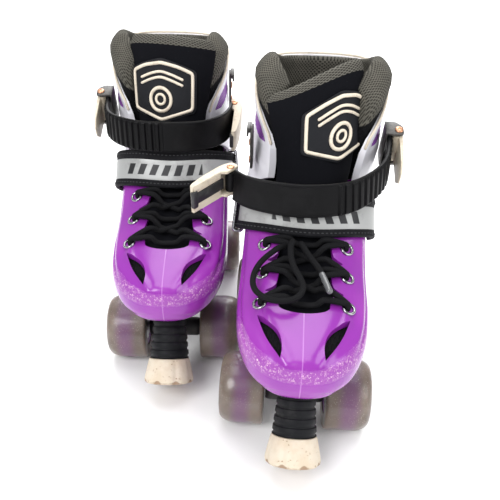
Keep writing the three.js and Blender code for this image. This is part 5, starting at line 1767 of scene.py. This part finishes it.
def lace_height(x, y):
    over_shell = eased(abs(x), TAB_REACH - 13, TAB_REACH - 5)
    tongue = boot_top(x, y, TONGUE_INSET) + 1.5
    shell = boot_top(x, y) + 1.6
    return LACE_DIAMETER / 2 + tongue + (shell - tongue) * over_shell


def make_laces(side):
    """Rows straight across at the eyelets, and a cross between each two rows."""
    form = Form()
    for index, share in enumerate(EYELET_ROWS):
        y = boot_y(share)
        row = [(s * EYELET_SPREAD, y + 0.5 * math.sin(3 * s), lace_height(s * EYELET_SPREAD, y))
               for s in np.linspace(-1, 1, 15)]
        row = [(row[0][0] - 0.4, y, row[0][2] - 3.4), *row, (row[-1][0] + 0.4, y, row[-1][2] - 3.4)]
        form.merge(tube(smooth_path(row, 90), LACE_DIAMETER / 2, 20))
        if index + 1 < len(EYELET_ROWS):
            after = boot_y(EYELET_ROWS[index + 1])
            for sign in (1, -1):
                line = []
                for s in np.linspace(-1, 1, 17):
                    at_y = y + (after - y) * (s + 1) / 2
                    lift = (2.4 if sign > 0 else 0.9) * (1 - s * s)
                    line.append((sign * s * EYELET_SPREAD, at_y, lace_height(s * EYELET_SPREAD, at_y) + lift))
                form.merge(tube(smooth_path(line, 100), LACE_DIAMETER / 2, 20))
    make(side, "lacing", form, LACE, "boot", ["laces"], sharp=60)

    points, facing = [], []
    for share in EYELET_ROWS:
        y = boot_y(share)
        for sign in (1, -1):
            x = sign * (EYELET_SPREAD + 1.2)
            slope_x = (boot_top(x + 1, y) - boot_top(x - 1, y)) / 2
            slope_y = (boot_top(x, y + 1) - boot_top(x, y - 1)) / 2
            points.append((x, y, boot_top(x, y) + 0.55))
            facing.append(Vector((-slope_x, -slope_y, 1)).normalized())
    seeds = bpy.data.meshes.new("eyelet_points")
    seeds.from_pydata(points, [], [])
    seeds.attributes.new("facing", "FLOAT_VECTOR", "POINT").data.foreach_set("vector", np.array(facing).ravel())
    make(side, "eyelets", grown(seeds, EYELETS, Ring_Radius=EYELET_RADIUS, Wire_Radius=EYELET_WIRE,
                                Metal=CHROME), CHROME, "boot")


def make_free_laces():
    """The bow's loop and the lace's free end, on the left skate."""
    place = PLACE["left"]
    for name, points, far_end, node_name in (("bow_loop", LACE_LOOP, "object", "lace_loop"),
                                             ("bow_end", LACE_END, "fitting", "lace_end")):
        line = smooth_path(points, 150 if far_end == "object" else 70)
        path = [place @ Vector(p) for p in line]
        length = sum((b - a).length for a, b in zip(path, path[1:]))
        piece = make("left", name, tube(line, LACE_DIAMETER / 2, 20), LACE, "boot", [node_name],
                     sharp=60)
        if far_end == "fitting":
            tag = smooth_path(line[-24:], 40)
            tip = make("left", "lace_tag", tube(tag, LACE_DIAMETER / 2 + 0.15, 20), AGLET, "boot")
        tuple(path[0])
        [tuple(p) for p in path[::3]]


# ---- shield on the tongue ----

SHIELD = [(0, 24), (14, 21), (28, 16), (28, -11), (26, -14.5), (0, -24), (-26, -14.5), (-28, -11), (-28, 16),
          (-14, 21)]


def inset_outline(outline, by):
    ring = [outline[-1], *outline, outline[0]]
    out = []
    for before, corner, after in zip(ring, ring[1:], ring[2:]):
        a, b, c = (Vector(p) for p in (before, corner, after))
        first = Vector(((b - a).y, -(b - a).x)).normalized()
        second = Vector(((c - b).y, -(c - b).x)).normalized()
        way = first + second
        out.append(tuple(b + way * (by / way.dot(first))))
    return out


SHIELD_HEIGHT = 210
SHIELD_SHIFT = {"right": -5.0, "left": -12.0}


def on_tongue(side, spine, x, y, height):
    """Millimetres across and up the shield's face, to a place on the tongue's front."""
    share = float(np.interp(SHIELD_HEIGHT + 0.95 * y, [row[1] for row in spine],
                            np.linspace(0, 1, len(spine))))
    half = tongue_frame(share, spine)[2]
    return tongue_point(side, share, (SHIELD_SHIFT[side] + x) / half, -height, spine)


def make_shield(side):
    spine = tongue_spine()
    outline = corner_rounded([Vector(p) for p in SHIELD], 3.0)

    def sheet(shape, low, high, steps=9, soft=0.5):
        """A plate that follows the tongue, built as rings shrinking towards its middle."""
        rings = []
        for k in range(steps, 0, -1):
            rings.append([on_tongue(side, spine, x * k / steps, y * k / steps, low) for x, y in shape])
        rings = rings[::-1]
        for x_scale, height in ((1, low), (1, high - soft), (1 - 0.004 * soft * 4, high - soft * 0.3),
                                (0.975, high)):
            rings.append([on_tongue(side, spine, x * x_scale, y * x_scale, height) for x, y in shape])
        for k in range(steps - 1, 0, -1):
            rings.append([on_tongue(side, spine, x * k / steps, y * k / steps, high) for x, y in shape])
        return loft([[tuple(p) for p in ring] for ring in rings])

    make(side, "shield_plate", sheet(outline, 0.2, 2.0), BADGE_RUBBER, "cuff_body")

    def raised(path_2d, radius, height=2.1, closed=True):
        line = [tuple(on_tongue(side, spine, x, y, height)) for x, y in path_2d]
        path = np.array(line + line[:1]) if closed else np.array(line)
        return tube(smooth_path([tuple(p) for p in path], 160 if closed else 60), radius, 10,
                    round_ends=not closed)

    trim = raised(corner_rounded(inset_outline(SHIELD, 3.0), 2.0), 1.25)
    for radius, thick in ((8.4, 1.3), (3.6, 1.0)):
        turns = np.linspace(0, 2 * math.pi, 24, endpoint=False)
        ring = [(radius * math.cos(a), -6 + radius * math.sin(a)) for a in turns]
        trim.merge(raised(ring, thick))
    for y in (13.5, 9.5):
        trim.merge(raised([(-17, y - 4.5), (-8, y - 1.6), (0, y), (8, y - 1.6), (17, y - 4.5)], 1.0,
                          closed=False))
    make(side, "shield_trim", trim, CREAM, "cuff_body")


# ---- assembly ----

for skate in SIDES:
    make_shell(skate)
    make_liner(skate)
    make_tongue(skate)
    make_shield(skate)
    make_cuff(skate)
    make_cuff_rivets(skate)
    make_instep_strap(skate)
    make_strap_ring(skate)
    make_ankle_strap(skate)
    make_ratchet(skate)
    make_cam(skate)
    make_catch(skate)
    make_wheels(skate)
    make_trucks(skate)
    make_base_plate(skate)
    make_toe_stop(skate)
    make_laces(skate)
make_free_laces()


# ---- studio ----

def make_studio():
    bpy.ops.mesh.primitive_plane_add(size=60, location=(0, 0, 0))
    floor = bpy.context.object
    floor.name = "floor"
    paint = Finish("floor_paint").set(**{"Base Color": (0.93, 0.93, 0.93, 1), "Roughness": 0.9,
                                         "Specular IOR Level": 0.1})
    floor.data.materials.append(paint.material)
    for name, at, aim, size, watts, spread in (
            ("key", (-0.9, -1.3, 1.5), (0, -0.05, 0.08), 1.1, 21, 160),
            ("fill", (1.3, -0.9, 1.1), (0, 0, 0.1), 1.3, 12, 170),
            ("over", (0.0, 0.2, 1.9), (0, 0, 0.1), 1.6, 18, 170),
            ("far_floor", (0.0, 5.0, 3.5), (0, 4.0, 0), 6.0, 330, 170),
            ("back", (0.1, 1.6, 1.0), (0, 0.05, 0.15), 1.2, 8, 170)):
        lamp = bpy.data.lights.new(name, "AREA")
        lamp.shape, lamp.size, lamp.energy, lamp.spread = "DISK", size, watts, math.radians(spread)
        body = bpy.data.objects.new(name, lamp)
        body.location = at
        body.rotation_euler = (Vector(aim) - Vector(at)).to_track_quat("-Z", "Y").to_euler()
        bpy.context.collection.objects.link(body)
    world = bpy.data.worlds.new("studio")
    world.use_nodes = True
    backdrop = world.node_tree.nodes["Background"]
    backdrop.inputs["Color"].default_value = (0.93, 0.94, 0.96, 1)
    backdrop.inputs["Strength"].default_value = 0.55
    bpy.context.scene.world = world


# The camera's place from the right skate's origin, its lens in millimetres and its turns in degrees.
CAMERA_FROM_RIGHT = (66.32, -458.35, 321.9)
CAMERA_LENS = 39.97
CAMERA_SHIFT = 0.0926
CAMERA_TILT = 55.87
CAMERA_ROLL = 1.84


def make_camera():
    lens = bpy.data.cameras.new("view")
    lens.sensor_width, lens.lens, lens.shift_y = 36, CAMERA_LENS, CAMERA_SHIFT
    body = bpy.data.objects.new("view", lens)
    origin = PLACE["right"] @ Vector((0, 0, 0))
    body.location = origin + Vector(CAMERA_FROM_RIGHT) * MM
    body.rotation_euler = (Matrix.Rotation(math.radians(CAMERA_TILT), 4, "X")
                           @ Matrix.Rotation(math.radians(CAMERA_ROLL), 4, "Z")).to_euler()
    bpy.context.collection.objects.link(body)
    bpy.context.scene.camera = body


make_studio()
make_camera()
bpy.context.scene.view_settings.view_transform = "Standard"
